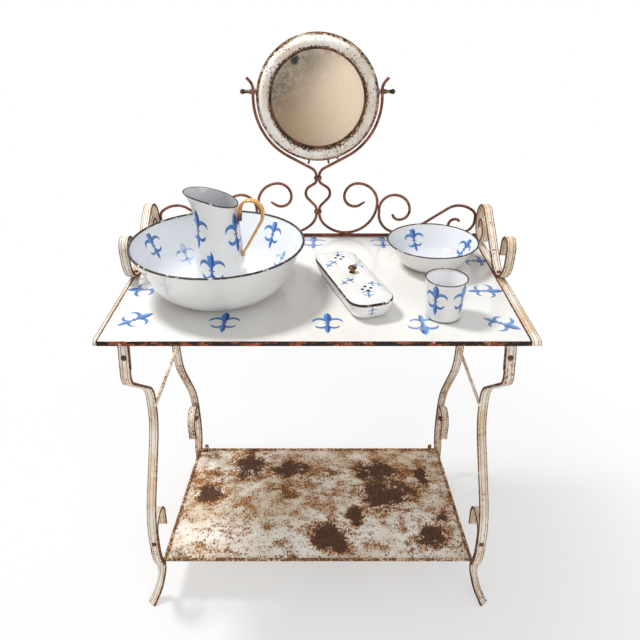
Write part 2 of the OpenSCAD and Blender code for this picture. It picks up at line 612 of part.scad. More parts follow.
// Three short tabs stand out from the lower edge of the ring.
module mirror_tabs() color(iron) mirror_axis() {
  for (q = [[-21, 9], [25, 9], [47, 4]])
    rotate([0, 0, -90 + asin(q[0]/mirror_r)]) translate([mirror_r + seat_gap, -2.5, 0])
    cube([q[1], 5, ring_t]);
}
pin_start = sqrt(mirror_r*mirror_r - pow(pivot_rise - 7, 2)) + seat_gap;
pin_end = pivot_x + 18;
module pivot_pins() color(steel) in_back_plane() both_sides() translate([0, 0, pivot_z]) {
  translate([pin_start, -4, -7]) cube([1.1, 8, 14]);
  translate([pin_start, 0, 0]) rotate([0, 90, 0]) cylinder(d = pivot_d, h = pin_end - pin_start, $fn = 32);
}
nut_start = pivot_x + eye_out + rest_gap;
module thumb_nut(is_left) color("#9c7b3c") in_back_plane() mirrored_x(is_left)
  translate([nut_start, 0, pivot_z]) rotate([0, 90, 0]) difference() {
    union() {
      cylinder(d = 11, h = 4);
      cylinder(d = 7.6, h = 16);
      translate([0, 0, 19]) sphere(d = 12);
    }
    translate([0, 0, -1]) cylinder(d = pivot_d + 2*rest_gap, h = pin_end - nut_start + 1 + rest_gap);
  }
module thumb_nut_left() thumb_nut(true);
module thumb_nut_right() thumb_nut(false);

// Round vessels: a flat floor, one bend and a straight side up to a rolled rim
function vessel_steps(rim, h, bend, slope) = let (run = (h - bend*(1 - cos(slope)))/sin(slope))
  [[rim - bend*sin(slope) - run*cos(slope)], [bend, slope], [run]];
module vessel(rim, h, bend, slope, bead) {
  run = samples([0, vessel_t/2], 0, vessel_steps(rim - bead, h - bead/2 - vessel_t/2, bend, slope), 6);
  rotate_extrude($fn = 96) polygon(band(run, vessel_t));
  translate([0, 0, h - bead]) rotate_extrude($fn = 96) translate([rim - bead, 0]) circle(r = bead, $fn = 20);
}
module wash_basin() color(bluish) on_table()
  translate([-basin_x*wide_k, basin_y, rest_gap]) vessel(basin_r, basin_h, 78, 66, 2.6);
module small_bowl() color(bluish) on_table()
  translate([263*wide_k, 338*frame_depth/512, rest_gap]) vessel(bowl_r, bowl_h, 45, 58, 1.8);
module cup() color(bluish) on_table()
  translate([250*wide_k, 97, rest_gap]) vessel(cup_r, cup_h, 6, 85.5, 1.3);

// Jug: round body narrowing upward to a slanted rim with a spout on the left
jug_n = 40;
function jug_rim_z(a) = jug_h - jug_slant*cos(a);
function jug_r(v) = jug_foot_r + (jug_neck_r - jug_foot_r)*pow(v, 0.9) + 2.5*pow(v, 8);
function jug_pt(a, v, off) = let (
    spout = 20*pow(max(0, -cos(a)), 2.5)*pow(v, 7),
    r = jug_r(v) + spout - off)
  [r*cos(a), r*sin(a), max(vessel_t, v*jug_rim_z(a))];
function jug_ring(v, off) = [for (k = [0:jug_n - 1]) jug_pt(360*k/jug_n, v, off)];
function flat_ring(r, z) = [for (k = [0:jug_n - 1]) [r*cos(360*k/jug_n), r*sin(360*k/jug_n), z]];
jug_levels = [0.04, 0.25, 0.45, 0.62, 0.75, 0.84, 0.91, 0.96];
jug_rings = concat([flat_ring(jug_foot_r - 3, 0), flat_ring(jug_foot_r, 2)],
  [for (v = jug_levels) jug_ring(v, 0)],
  [jug_ring(0.985, 0), jug_ring(0.99, -1.2), jug_ring(1, -1), jug_ring(1, vessel_t)],
  [for (v = reversed(jug_levels)) jug_ring(v, vessel_t)],
  [flat_ring(jug_foot_r - vessel_t - 2, vessel_t)]);
jug_seat = rest_gap + vessel_t + rest_gap;
module in_jug() on_table() translate([4 - basin_x*wide_k, basin_y + 2, jug_seat]) children();
module jug_body() color(bluish) in_jug() skin(jug_rings);
// Handle: a pressed gutter of sheet, open towards the jug, from below the rim over a high
// bow to the lower body
handle_t = 6;
handle_wall = 1.8;
handle_k = jug_h/202;
handle_v = 0.82;
handle_top = [jug_r(handle_v) + handle_t/2 + 0.2, handle_v*jug_rim_z(0)];
handle_bow = [[25*handle_k], [26*handle_k, -85], [24*handle_k, -90], [40*handle_k, -30]];
handle_fall = (stations(handle_top, 85, handle_bow)[4][0][0] - 20*handle_k*(1 - cos(30))
  - jug_r(0.435) - handle_t/2 - 0.2)/sin(30);
handle_run = samples(handle_top, 85, concat(handle_bow, [[handle_fall], [20*handle_k, 30]]), 12);
handle_low = handle_run[len(handle_run) - 1][0];
function gutter(w, t, wall) = concat(
  [for (k = [0:8]) [w/2*cos(22.5*k), t*sin(22.5*k) - t/2]],
  [for (k = [8:-1:0]) [(w/2 - wall)*cos(22.5*k), (t - wall)*sin(22.5*k) - t/2]]);
module at_handle() in_jug() rotate([0, 0, handle_turn]) children();
module jug_handle() color("#c58a35") at_handle()
  sweep([for (i = [0:len(handle_run) - 1]) let (q = handle_run[i])
    [[q[0][0], 0, q[0][1]], [cos(q[1]), 0, sin(q[1])], [0, 1, 0],
    1 - 0.25*i/(len(handle_run) - 1), 1]], gutter(handle_w, handle_t, handle_wall));
module jug_rivets() color(steel) at_handle() {
  z0 = handle_low[1] + 4;
  x0 = jug_r(z0/jug_rim_z(0)) + 0.1;
  translate([x0, 0, z0]) rotate([0, 90, 0])
    cylinder(d = 4, h = handle_low[0] + handle_t/2 - handle_wall - x0 - 0.3);
}

// Soap dish and lid: rounded oblongs, long side turned into the table
dish_turn = -71.5;
dish_spot = [73*wide_k, 198];
function oblong(l, w, r, z) = [for (q = [[1, -1, 270], [1, 1, 0], [-1, 1, 90], [-1, -1, 180]])
  for (k = [0:6]) [q[0]*(l/2 - r) + r*cos(q[2] + 15*k), q[1]*(w/2 - r) + r*sin(q[2] + 15*k), z]];
function inset(i, z) = oblong(dish_l - 2*i, dish_w - 2*i, dish_corner_r - i, z);
dish_side = [[20, 0], [13, 3], [7.5, 10], [4, 19], [2, 28], [1.6, dish_h - 3]];
dish_rings = concat([for (q = dish_side) inset(q[0], q[1])],
  [inset(0, dish_h - 2), inset(0.2, dish_h - 0.6), inset(1.2, dish_h), inset(3.4, dish_h - 0.6)],
  [for (q = reversed([for (i = [2:5]) dish_side[i]])) inset(q[0] + vessel_t + 0.2, q[1])],
  [inset(17, vessel_t + 1.4), inset(24, vessel_t)]);
module in_dish() on_table() translate([dish_spot[0], dish_spot[1], rest_gap])
  rotate([0, 0, dish_turn]) children();
module soap_dish() color(bluish) in_dish() skin(dish_rings);
lid_z = dish_h + rest_gap;
lid_t = 1.4;
function dome(i) = lid_z + lid_t + lid_rise*sin(90*min(1, i/30));
lid_rings = concat([for (i = [32, 26, 20, 14, 9]) inset(i, dome(i) - lid_t)],
  [inset(7, lid_z - 1), inset(6.6, lid_z - 6), inset(5.4, lid_z - 6), inset(5, lid_z),
    inset(0.8, lid_z), inset(0.4, lid_z + lid_t/2), inset(1, lid_z + lid_t)],
  [for (i = [5, 9, 14, 20, 26, 32]) inset(i, dome(i))]);
module soap_lid() color(bluish) in_dish() difference() {
  skin(lid_rings);
  for (e = [-1, 1]) for (a = [0:90:270])
    translate([e*dish_l*0.3 + 9*cos(a), 9*sin(a), lid_z - 8]) cylinder(d = drain_d, h = 30, $fn = 24);
  translate([0, 0, lid_z - 8]) cylinder(d = 4 + bolt_clear, h = 30, $fn = 24);
}
module soap_knob() color("#9c7b3c") in_dish() translate([0, 0, dome(32) + seat_gap]) {
  rotate_extrude($fn = 48) polygon([[0, 0], [7, 0], [7, 1.2], [3.4, 2.6], [3.2, 5], [8, 7.5],
    [9, 10], [8.4, 12.4], [5.6, 14.2], [0, 15]]);
  translate([0, 0, -lid_t - 3]) cylinder(d = 4, h = lid_t + 4, $fn = 24);
  translate([0, 0, -lid_t - 3 - seat_gap]) cylinder(d = 8, h = 2.8, $fn = 24);
}

top_plate();
side_bar_left();
side_bar_right();
front_cross_bar();
rear_cross_bar();
back_rail();
bracket_front_left();
bracket_front_right();
bracket_rear_left();
bracket_rear_right();
leg_front_left();
leg_front_right();
leg_rear_left();
leg_rear_right();
foot_front_left();
foot_front_right();
foot_rear_left();
foot_rear_right();
tie_bar_left();
tie_bar_right();
shelf();
shelf_lugs();
side_scroll_left();
side_scroll_right();
long_rod_left();
long_rod_right();
middle_scroll_left();
middle_scroll_right();
outer_scroll_left();
outer_scroll_right();
upper_collar();
lower_collar();
leg_bolts();
foot_bolts();
scroll_rivets();
shelf_rivets();
mirror_ring();
mirror_glass();
mirror_backing();
mirror_pan();
mirror_tabs();
pivot_pins();
thumb_nut_left();
thumb_nut_right();
wash_basin();
jug_body();
jug_handle();
jug_rivets();
soap_dish();
soap_lid();
soap_knob();
small_bowl();
cup();
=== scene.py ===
import math

import bmesh
import bpy
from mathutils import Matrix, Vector


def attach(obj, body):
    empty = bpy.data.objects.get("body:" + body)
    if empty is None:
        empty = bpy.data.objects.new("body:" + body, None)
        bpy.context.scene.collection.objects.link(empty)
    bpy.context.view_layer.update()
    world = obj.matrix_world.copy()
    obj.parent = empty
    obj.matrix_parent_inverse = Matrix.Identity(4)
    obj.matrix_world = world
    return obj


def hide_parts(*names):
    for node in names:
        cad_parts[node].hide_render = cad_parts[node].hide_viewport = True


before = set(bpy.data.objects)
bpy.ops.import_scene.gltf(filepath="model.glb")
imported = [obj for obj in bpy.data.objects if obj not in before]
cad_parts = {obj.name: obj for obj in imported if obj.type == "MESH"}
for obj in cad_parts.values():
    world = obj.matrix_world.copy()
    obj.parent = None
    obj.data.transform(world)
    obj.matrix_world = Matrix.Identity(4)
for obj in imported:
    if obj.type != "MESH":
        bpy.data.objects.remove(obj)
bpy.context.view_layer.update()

# The view: a standing person's height in front of the table, looking down on it.
# Nothing of the object is here, only the eye point and its lens.
DEG = math.pi / 180
camera = bpy.data.objects.new("camera", bpy.data.cameras.new("camera"))
bpy.context.scene.collection.objects.link(camera)
camera.location = (0.0053, -1.2176, 1.3968)
camera.rotation_euler = (59.86 * DEG, 0, 0)
camera.data.sensor_width = 36
camera.data.lens = 34.245
camera.data.clip_end = 200
bpy.context.scene.camera = camera

# Side bars: moulded wrought strap, three rounded reeds under cream paint that has
# worn to brown iron on the edges. The front ends are bent down behind the enamel lip
# and the back ends lie under the rail.
MM = 0.001
FRONT_EDGE, TOP_LEVEL, FRAME_DEPTH = -260, 795, 512
SHEET = 1.6
STRAP_T, BAR_W, BAR_X = 6, 20, 410
REED = 0.41  # where the two grooves lie, in half widths
SIDES = (("left", -1), ("right", 1))


def unit(heading):
    return math.cos(heading * DEG), math.sin(heading * DEG)


def on_table(x, depth, height):
    """Millimetres from the middle, the front edge and the enamel, as a place in the room."""
    return Vector((x, depth + FRONT_EDGE, height + TOP_LEVEL)) * MM


def walk(start, heading, steps, turn_per=5, run_per=14):
    """Points and headings along straights (length,) and arcs (radius, turn to the left)."""
    (x, y), line = start, []
    for size, turn in ((*step, 0)[:2] for step in steps):
        count = max(2, math.ceil(abs(turn) / turn_per)) if turn else max(1, round(size / run_per))
        side, (c0, s0) = math.copysign(size, turn), unit(heading)
        for k in range(count + 1):
            now = heading + turn * k / count
            c, s = unit(now)
            run = size * k / count
            here = (x + side * (s - s0), y - side * (c - c0)) if turn else (
                x + run * c0, y + run * s0)
            line.append((here, now))
        line.pop()
        (x, y), heading = here, heading + turn
    return line + [((x, y), heading)]


def maths(operation, reflected=False):
    """A method that adds one Math node, with the number last where it is reflected."""
    def method(self, *others):
        values = (*others, self) if reflected else (self, *others)
        return self.nodes.add("ShaderNodeMath", {"operation": operation}, dict(enumerate(values)))
    return method


class Field:
    """A number that changes over a piece: arithmetic on it adds Math nodes."""

    def __init__(self, nodes, socket):
        self.nodes, self.socket = nodes, socket

    __add__, __radd__ = maths("ADD"), maths("ADD", True)
    __sub__, __rsub__ = maths("SUBTRACT"), maths("SUBTRACT", True)
    __mul__, __rmul__ = maths("MULTIPLY"), maths("MULTIPLY", True)
    __truediv__, __rtruediv__ = maths("DIVIDE"), maths("DIVIDE", True)
    __abs__, root = maths("ABSOLUTE"), maths("SQRT")
    cosine, exponent = maths("COSINE"), maths("EXPONENT")
    least, most, under = maths("MINIMUM"), maths("MAXIMUM"), maths("LESS_THAN")

    def between(self, low, high, start=0.0, end=1.0):
        """Rises smoothly from start to end as the number goes from low to high."""
        return self.nodes.add("ShaderNodeMapRange", {"interpolation_type": "SMOOTHSTEP"}, {
            "Value": self, "From Min": low, "From Max": high, "To Min": start, "To Max": end})


class Nodes:
    """A node tree, and the one method that adds a node to it."""

    def __init__(self, tree):
        self.tree = tree

    def add(self, kind, settings=None, values=None, out=0):
        node = self.tree.nodes.new(kind)
        for key, value in (settings or {}).items():
            setattr(node, key, value)
        for key, value in (values or {}).items():
            if isinstance(value, Field):
                self.tree.links.new(value.socket, node.inputs[key])
            else:
                node.inputs[key].default_value = value
        return node if out is None else Field(self, node.outputs[out])

    def parts(self, vector):
        node = self.add("ShaderNodeSeparateXYZ", values={0: vector}, out=None)
        return [Field(self, socket) for socket in node.outputs]


class Shape(Nodes):
    """A Geometry Nodes tree, with a named input for each of its sizes."""

    def __init__(self, name, **sizes):
        super().__init__(bpy.data.node_groups.new(name, "GeometryNodeTree"))
        new_socket = self.tree.interface.new_socket
        for side in ("INPUT", "OUTPUT"):
            new_socket("Geometry", in_out=side, socket_type="NodeSocketGeometry")
        for label, value in sizes.items():
            kind = "NodeSocketInt" if isinstance(value, int) else "NodeSocketFloat"
            new_socket(label, in_out="INPUT", socket_type=kind).default_value = value
        new_socket("Finish", in_out="INPUT", socket_type="NodeSocketMaterial")
        source = self.add("NodeGroupInput", out=None).outputs
        self.size = {socket.name: Field(self, socket) for socket in source}

    def named(self, name, kind="FLOAT_VECTOR"):
        return self.add("GeometryNodeInputNamedAttribute", {"data_type": kind}, {"Name": name})

    def pushed(self, shape, way, far):
        push = self.add("ShaderNodeVectorMath", {"operation": "SCALE"}, {0: way, "Scale": far})
        return self.add("GeometryNodeSetPosition", values={"Geometry": shape, "Offset": push})

    def closed(self, shape):
        """Instances made real, the finish set, and the shape handed out."""
        shape = self.add("GeometryNodeRealizeInstances", values={0: shape})
        shape = self.add("GeometryNodeSetMaterial", values={
            "Geometry": shape, "Material": self.size["Finish"]})
        self.add("NodeGroupOutput", values={0: shape}, out=None)
        return self.tree


def strap_tree():
    """A reeded section, swept along a line of points that carry its width direction."""
    tree = Shape("moulded strap", Width=0.02, Thickness=0.006, Groove=0.0, Edge=0.001, Bow=0.0,
                 Around=84)
    size = tree.size
    half_w, half_t = size["Width"] * 0.5, size["Thickness"] * 0.5
    section = tree.add("GeometryNodeCurvePrimitiveQuadrilateral", values={
        "Width": size["Width"], "Height": size["Thickness"]})
    section = tree.add("GeometryNodeFilletCurve", {"mode": "POLY"}, {
        "Curve": section, "Count": 3, "Radius": size["Edge"], "Limit Radius": True})
    section = tree.add("GeometryNodeResampleCurve", {"mode": "COUNT"}, {
        "Curve": section, "Count": size["Around"]})
    x, y, _ = tree.parts(tree.add("GeometryNodeInputPosition"))
    across = x / half_w
    off_reed = (abs(across) - REED) / 0.075
    dip = (off_reed * off_reed * -1.0).exponent()
    crown = (across * 15.0).cosine() * 0.12
    sink = (dip + 0.12 - crown) * size["Groove"] / half_t
    bow = 1.0 - (1.0 - across * across * 0.96).root()
    sunk = tree.add("ShaderNodeCombineXYZ", values={
        0: x, 1: y * (1.0 - sink) - bow * size["Bow"]})
    section = tree.add("GeometryNodeSetPosition", values={"Geometry": section, "Position": sunk})
    place = tree.add("ShaderNodeCombineXYZ", values={0: across, 1: y / half_t})
    section = tree.add("GeometryNodeStoreNamedAttribute", {"data_type": "FLOAT_VECTOR"}, {
        "Geometry": section, "Name": "section", "Value": place})
    line = tree.add("GeometryNodeMeshToCurve", values={0: size["Geometry"]})
    line = tree.add("GeometryNodeSetCurveNormal", {"mode": "FREE"}, {
        "Curve": line, "Normal": tree.named("across")})
    shape = tree.add("GeometryNodeCurveToMesh", values={
        "Curve": line, "Profile Curve": section, "Fill Caps": True})
    x, y, _ = tree.parts(tree.named("section"))
    for way, far, grow in (("across", x * half_w, "breadth"), ("through", y * half_t, "swell")):
        more = tree.named(grow, "FLOAT") - 1.0
        shape = tree.pushed(shape, tree.named(way), far * more)
    return tree.closed(shape)


STRAP = strap_tree()


def shaded(mesh, sharp_over=36):
    mesh.polygons.foreach_set("use_smooth", [True] * len(mesh.polygons))
    mesh.set_sharp_from_angle(angle=sharp_over * DEG)


def in_scene(name, data):
    piece = bpy.data.objects.new(name, data)
    bpy.context.scene.collection.objects.link(piece)
    return piece


def settled(piece, sharp_over=36):
    """The piece with what its modifiers make as its own plain mesh."""
    evaluated = piece.evaluated_get(bpy.context.evaluated_depsgraph_get())
    mesh = bpy.data.meshes.new_from_object(evaluated)
    piece.modifiers.clear()
    piece.data = mesh
    shaded(mesh, sharp_over)
    return piece


def meshed(name, points, edges=(), faces=(), **attributes):
    """A mesh, with numbers or vectors kept at its points."""
    mesh = bpy.data.meshes.new(name)
    mesh.from_pydata(points, edges, faces)
    for label, values in attributes.items():
        if isinstance(values[0], Vector):
            data = mesh.attributes.new(label, "FLOAT_VECTOR", "POINT").data
            data.foreach_set("vector", [c for v in values for c in v])
        else:
            mesh.attributes.new(label, "FLOAT", "POINT").data.foreach_set("value", values)
    return mesh


def shaped(name, source, tree, finish, **sizes):
    """The tree's shape on that source mesh, as a plain mesh piece with its finish."""
    piece = in_scene(name, source)
    modifier = piece.modifiers.new("shape", "NODES")
    modifier.node_group = tree
    sizes["Finish"] = finish
    for item in tree.interface.items_tree:
        if item.name in sizes and item.in_out == "INPUT":
            modifier[item.identifier] = sizes[item.name]
    return settled(piece)


def strap(name, stations, width, finish, thickness=STRAP_T, groove=0.8, edge=1.0, around=84,
          bow=0.0):
    """A strap along stations of point, direction, width direction and, if not 1, its growth."""
    points, along, across, breadth, swell = zip(*((*s, 1, 1)[:5] for s in stations))
    across = [w.normalized() for w in across]
    run = [0.0]
    for a, b in zip(points, points[1:]):
        run.append(run[-1] + (b - a).length)
    line = meshed(name, points, [(k, k + 1) for k in range(len(points) - 1)], (),
                  across=across, through=[d.cross(w).normalized() for d, w in zip(along, across)],
                  breadth=breadth, swell=swell, run=run)
    return shaped(name, line, STRAP, finish, Width=width * MM, Thickness=thickness * MM,
                  Groove=groove * MM, Edge=edge * MM, Bow=bow * MM, Around=around)


def stand_in(piece, node, body="frame"):
    """The piece takes the place of its CAD node, on that node's body."""
    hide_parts(node)
    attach(piece, body)
    return piece


def upright(line, x):
    """A path in a plane across the table's depth, at that distance to the side."""
    return [(on_table(x, *point), Vector((0, *unit(h))), Vector((1, 0, 0))) for point, h in line]


def tint(code):
    """A colour as it is seen, written in hexadecimal, in the values that light is mixed in."""
    seen = [int(code[k:k + 2], 16) / 255 for k in (1, 3, 5)]
    return tuple(c / 12.92 if c <= 0.04045 else ((c + 0.055) / 1.055) ** 2.4 for c in seen) + (1,)


class Finish(Nodes):
    """One surface finish, built up from noise and from the piece's own attributes."""

    def __init__(self, name, **fixed):
        self.material = bpy.data.materials.new(name)
        self.material.use_nodes = True
        super().__init__(self.material.node_tree)
        self.tree.nodes.clear()
        self.shader = self.add("ShaderNodeBsdfPrincipled", out=None)
        self.surface = Field(self, self.shader.outputs[0])
        self.end = self.add("ShaderNodeOutputMaterial", values={"Surface": self.surface}, out=None)
        for label, value in fixed.items():
            self.shader.inputs[label.replace("_", " ")].default_value = value

    def place(self):
        return self.add("ShaderNodeTexCoord", out="Object")

    def attribute(self, name, out="Fac"):
        return self.add("ShaderNodeAttribute", {"attribute_name": name}, out=out)

    def noise(self, scale, detail, rough, seed, stretch=(1, 1, 1)):
        place = self.add("ShaderNodeMapping", values={
            "Vector": self.place(), "Scale": stretch, "Location": (seed, -seed, seed)})
        return self.add("ShaderNodeTexNoise", values={
            "Vector": place, "Scale": scale, "Detail": detail, "Roughness": rough})

    def mix(self, mask, below, above):
        """Colours: below where the mask is 0, above where it is 1."""
        below, above = (tint(c) if isinstance(c, str) else c for c in (below, above))
        return self.add("ShaderNodeMix", {"data_type": "RGBA"}, {0: mask, 6: below, 7: above}, 2)

    def coat(self, mask, colour):
        """One more colour over those that are there, where the mask is 1."""
        self.colour = self.mix(mask, self.colour, colour)

    def done(self, roughness, height, bump, distance, metallic=None, coat=None):
        raised = self.add("ShaderNodeBump", values={
            "Height": height, "Strength": bump, "Distance": distance})
        for label, value in (("Base Color", self.colour), ("Roughness", roughness),
                             ("Metallic", metallic), ("Coat Weight", coat), ("Normal", raised)):
            if value is not None:
                self.tree.links.new(value.socket, self.shader.inputs[label])
        return self.material


def cream_paint(name, reeded, age=0.0):
    """Old cream paint, ivory where it is rubbed, with brown edges, dark chips and painted shade on
    the narrow sides.
    """
    finish = Finish(name)
    finish.colour = finish.mix(finish.noise(11, 4, 0.6, 3.1).between(0.38, 0.60),
                               "#e3c8a4", "#f6ecdd")
    finish.coat(finish.noise(60, 4, 0.7, 8.4, (1, 1, 0.35)).between(0.52, 0.7, 0, 0.8), "#fcf8f0")
    grain = finish.noise(170, 6, 0.72, 1.7)
    _, depth, height = finish.parts(finish.place())
    damp = depth.between(0.06, 0.16) * height.between(0.76, 0.70) * 0.11
    patch = finish.noise(8, 3, 0.6, 5.5) + damp + age
    iron = finish.mix(finish.noise(90, 3, 0.6, 7.7).between(0.4, 0.6), "#2f1a12", "#7a4526")
    if reeded:
        x, y, _ = finish.parts(finish.attribute("section", "Vector"))
        broken = finish.noise(48, 4, 0.65, 2.2)
        groove = (abs(abs(x) - REED)).between(0.13, 0.04) * broken.between(0.26, 0.46)
        rim = abs(x).between(0.68, 0.93)
        side = abs(y).between(0.95, 0.6)
        # Painted shade: the strap's narrow side faces are coloured a darker brown.
        finish.coat(side * 0.6, "#94704c")
        finish.coat(groove * 0.6, "#84592f")
        line = rim * (broken + patch * 0.4 + (grain - 0.5) * 0.8).between(0.32, 0.56)
        finish.coat(line * 0.92, "#4c2c18")
        worn = (rim * 0.14 + side * 0.05 + grain + patch * 0.36).between(0.79, 0.83)
        stain = (rim * 0.16 + grain * 0.7 + patch * 0.55).between(0.64, 0.86)
    else:
        worn = (grain + patch * 0.36).between(0.76, 0.80)
        stain = (grain * 0.7 + patch * 0.55).between(0.62, 0.82)
    finish.coat(stain * 0.8, "#b5793f")
    finish.coat(worn, iron)
    return finish.done(0.5 + worn * 0.35, 1 - worn + grain * 0.3, 0.5, 0.0004)


CREAM = cream_paint("cream_paint_on_strap", True)


def cream_strap(node, stations, width):
    return stand_in(strap(node + "_strap", stations, width, CREAM), node)


BEND = 7.4
bar_start = (SHEET + 0.6 + STRAP_T / 2, -SHEET - STRAP_T / 2 - BEND)
bar_line = walk(bar_start, 90, [(BEND, -90), (FRAME_DEPTH + 3.5 - bar_start[0] - BEND,)], 9)
for side, sign in SIDES:
    cream_strap("side_bar_" + side, upright(bar_line, sign * BAR_X), BAR_W)

# Cross bars and back rail: plain flat iron under and behind the enamel top, unpainted,
# brown with rust. The corners are rounded by wear.


def rusty(name, mid, dark, light, scale=1.0, rough=0.72):
    """Bare rusted iron: brown-red scale with darker pits and a rubbed, lighter bloom."""
    finish = Finish(name)
    grain = finish.noise(260 * scale, 5, 0.65, 1.3)
    cloud = finish.noise(34 * scale, 4, 0.6, 4.6)
    finish.colour = finish.mix(cloud.between(0.38, 0.62), dark, mid)
    bloom = (grain * 0.6 + finish.noise(70 * scale, 3, 0.6, 9.1) * 0.6).between(0.60, 0.76)
    finish.coat(bloom * 0.8, light)
    pits = grain.between(0.42, 0.34)
    finish.coat(pits * 0.8, "#2c1712")
    return finish.done(rough + pits * 0.15 - bloom * 0.1, grain + cloud * 0.5, 0.6, 0.0005)


RUST = rusty("rusted_flat_iron", "#8a4c2c", "#56301f", "#b06a3c")
CROSS_LEVEL = -SHEET - STRAP_T
CROSS_IN, CROSS_W, CROSS_T = 25.5, 25, 4
for name, depth, height, width, thickness, half in (
        ("front_cross_bar", CROSS_IN, CROSS_LEVEL - 2, CROSS_W, CROSS_T, 418),
        ("rear_cross_bar", FRAME_DEPTH - CROSS_IN, CROSS_LEVEL - 2, CROSS_W, CROSS_T, 418),
        ("back_rail", FRAME_DEPTH, 2.2, 7, 7.6, 420)):
    stations = [(on_table(half * (k / 30 - 1), depth, height), Vector((1, 0, 0)),
                 Vector((0, 1, 0))) for k in range(61)]
    bar = strap(name + "_iron", stations, width, RUST, thickness, 0.0, 0.9, 40)
    stand_in(bar, name)

# Angle brackets, collars, tabs and lugs: short pieces cut from the same iron and set by
# the smith. Their CAD solids have the right form, so each keeps it, with its sharp
# edges eased as a file would leave them.


def eased(node, finish, radius, body="frame"):
    """The CAD solid, merged and with its edges rounded over, in its place."""
    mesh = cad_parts[node].data.copy()
    mesh.materials.clear()
    mesh.materials.append(finish)
    piece = in_scene(node + "_eased", mesh)
    for kind, settings in (
            ("WELD", {"merge_threshold": 0.00001}),
            ("BEVEL", {"width": radius * MM, "segments": 2, "limit_method": "ANGLE",
                       "angle_limit": 40 * DEG, "use_clamp_overlap": True})):
        modifier = piece.modifiers.new(kind.lower(), kind)
        for key, value in settings.items():
            setattr(modifier, key, value)
    return stand_in(settled(piece, 50), node, body)


PLATE_RUST = rusty("orange_rusted_bracket", "#a8552c", "#6b3520", "#cf7a44")
for end in ("front", "rear"):
    for side, _ in SIDES:
        eased("bracket_%s_%s" % (end, side), PLATE_RUST, 0.7)
CREAM_PLAIN = cream_paint("cream_paint_on_iron", False, 0.14)
eased("shelf_lugs", CREAM_PLAIN, 0.7)

# Legs and feet: the same moulded strap. Each leg drops from its bracket, sweeps back at
# the shoulder, bows at the calf and runs down to the shelf; the foot is a second strap
# hooked behind it, turned outward and rolled at the toe, which is ground flat.
LEG_W, LEG_X, LEG_END_R, REAR_IN = 21, 369, 150, 2
SPLAY, TOP_HEADING = 1.66, -99.9
LEG_TOP = CROSS_LEVEL - 8
GAP = 0.05  # between pieces that are fixed to one another
leg_start = (20, LEG_TOP - GAP - 3 * unit(9.9)[1] - LEG_W / 2 * unit(SPLAY)[1])
leg_steps = [(64,), (35, 59.9), (124.6,), (70, -50), (20,), (150, -33), (124,), (188, 33),
             (42,), (LEG_END_R, 30)]
leg_line = walk(leg_start, TOP_HEADING, leg_steps)


def leaned(rear, x, height):
    """The front legs' plane leans outward a little; the rear one stands straight."""
    c, s = (1, 0) if rear else unit(SPLAY)
    return x * c - height * s, height * c + x * s


def corner(side, rear, x, depth, height):
    """A point of the front right leg's plane, carried to one corner of the table."""
    x, height = leaned(rear, x, height - LEG_TOP)
    return on_table(side * (x + LEG_X - REAR_IN * rear), FRAME_DEPTH - depth if rear else depth,
                    height + LEG_TOP)


def corner_way(side, rear, x, depth, height):
    """A direction of that plane, turned for the same corner."""
    x, height = leaned(rear, x, height)
    return Vector((side * x, -depth if rear else depth, height))


def in_plane(line, side, rear):
    """Stations of a strap along a path in the plane of one leg."""
    return [(corner(side, rear, 0, *point), corner_way(side, rear, 0, *unit(h)),
             corner_way(side, rear, 1, 0, 0)) for point, h in line]


HOOK_R, TOE_R, TOE_TURN, TOE_PLAN = 37, 150, 38, 40
hook_end = walk(leg_start, TOP_HEADING, leg_steps[:9])[-1][0]
hook_end = (hook_end[0] + STRAP_T + GAP + 2 * HOOK_R, hook_end[1])
foot_line = walk(hook_end, 90, [(40,), (HOOK_R, 180), (40,),
                               (LEG_END_R - STRAP_T - GAP, 30), (30, -30)])
ankle = foot_line[-1][0]
toe_fall = TOP_LEVEL + ankle[1] - 5 - TOE_R * unit(TOE_TURN)[1] - 4.5 + 2.1
toe_line = walk((0, ankle[1]), -90,
                [(5,), (TOE_R, TOE_TURN), (toe_fall / unit(TOE_TURN)[0],)], 4, 8)
TOE_ROLL = ((-9, 1.0), (-7, 1.04), (-5, 1.15), (-3, 1.32), (-1, 1.45), (1, 1.5), (2.4, 1.36),
            (3.4, 1.05), (4, 0.62))


def within(value):
    return min(1.0, max(0.0, value))


def toe(side, rear):
    """The strap turns outward as it falls from the ankle, and its tip is rolled."""
    stations = []
    plan_cos, plan_sin = unit(TOE_PLAN)
    for (out, height), h in toe_line:
        t = within((ankle[1] - height) / 45)
        c, s = unit(h)
        stations.append((
            corner(side, rear, out * plan_sin, ankle[0] - out * plan_cos, height),
            corner_way(side, rear, c * plan_sin, -c * plan_cos, s),
            corner_way(side, rear, *unit(TOE_PLAN * t * t * (3 - 2 * t)), 0)))
    tip, along, across = stations[-1]
    stations = [s for s in stations[1:] if (s[0] - tip).length > 10 * MM]
    return stations + [(tip + along * q * MM, along, across, 1, swell) for q, swell in TOE_ROLL]


for end, rear in (("front", False), ("rear", True)):
    for name, side in SIDES:
        cream_strap("leg_%s_%s" % (end, name), in_plane(leg_line, side, rear), LEG_W)
        foot = cream_strap("foot_%s_%s" % (end, name),
                           in_plane(foot_line[:-1], side, rear) + toe(side, rear), LEG_W)
        for vertex in foot.data.vertices:
            vertex.co.z = max(vertex.co.z, 0.0)

# Tie bars: two round rods between the waists of the legs, riveted over in front and
# behind. They are drawn down smaller where they pass through the straps.


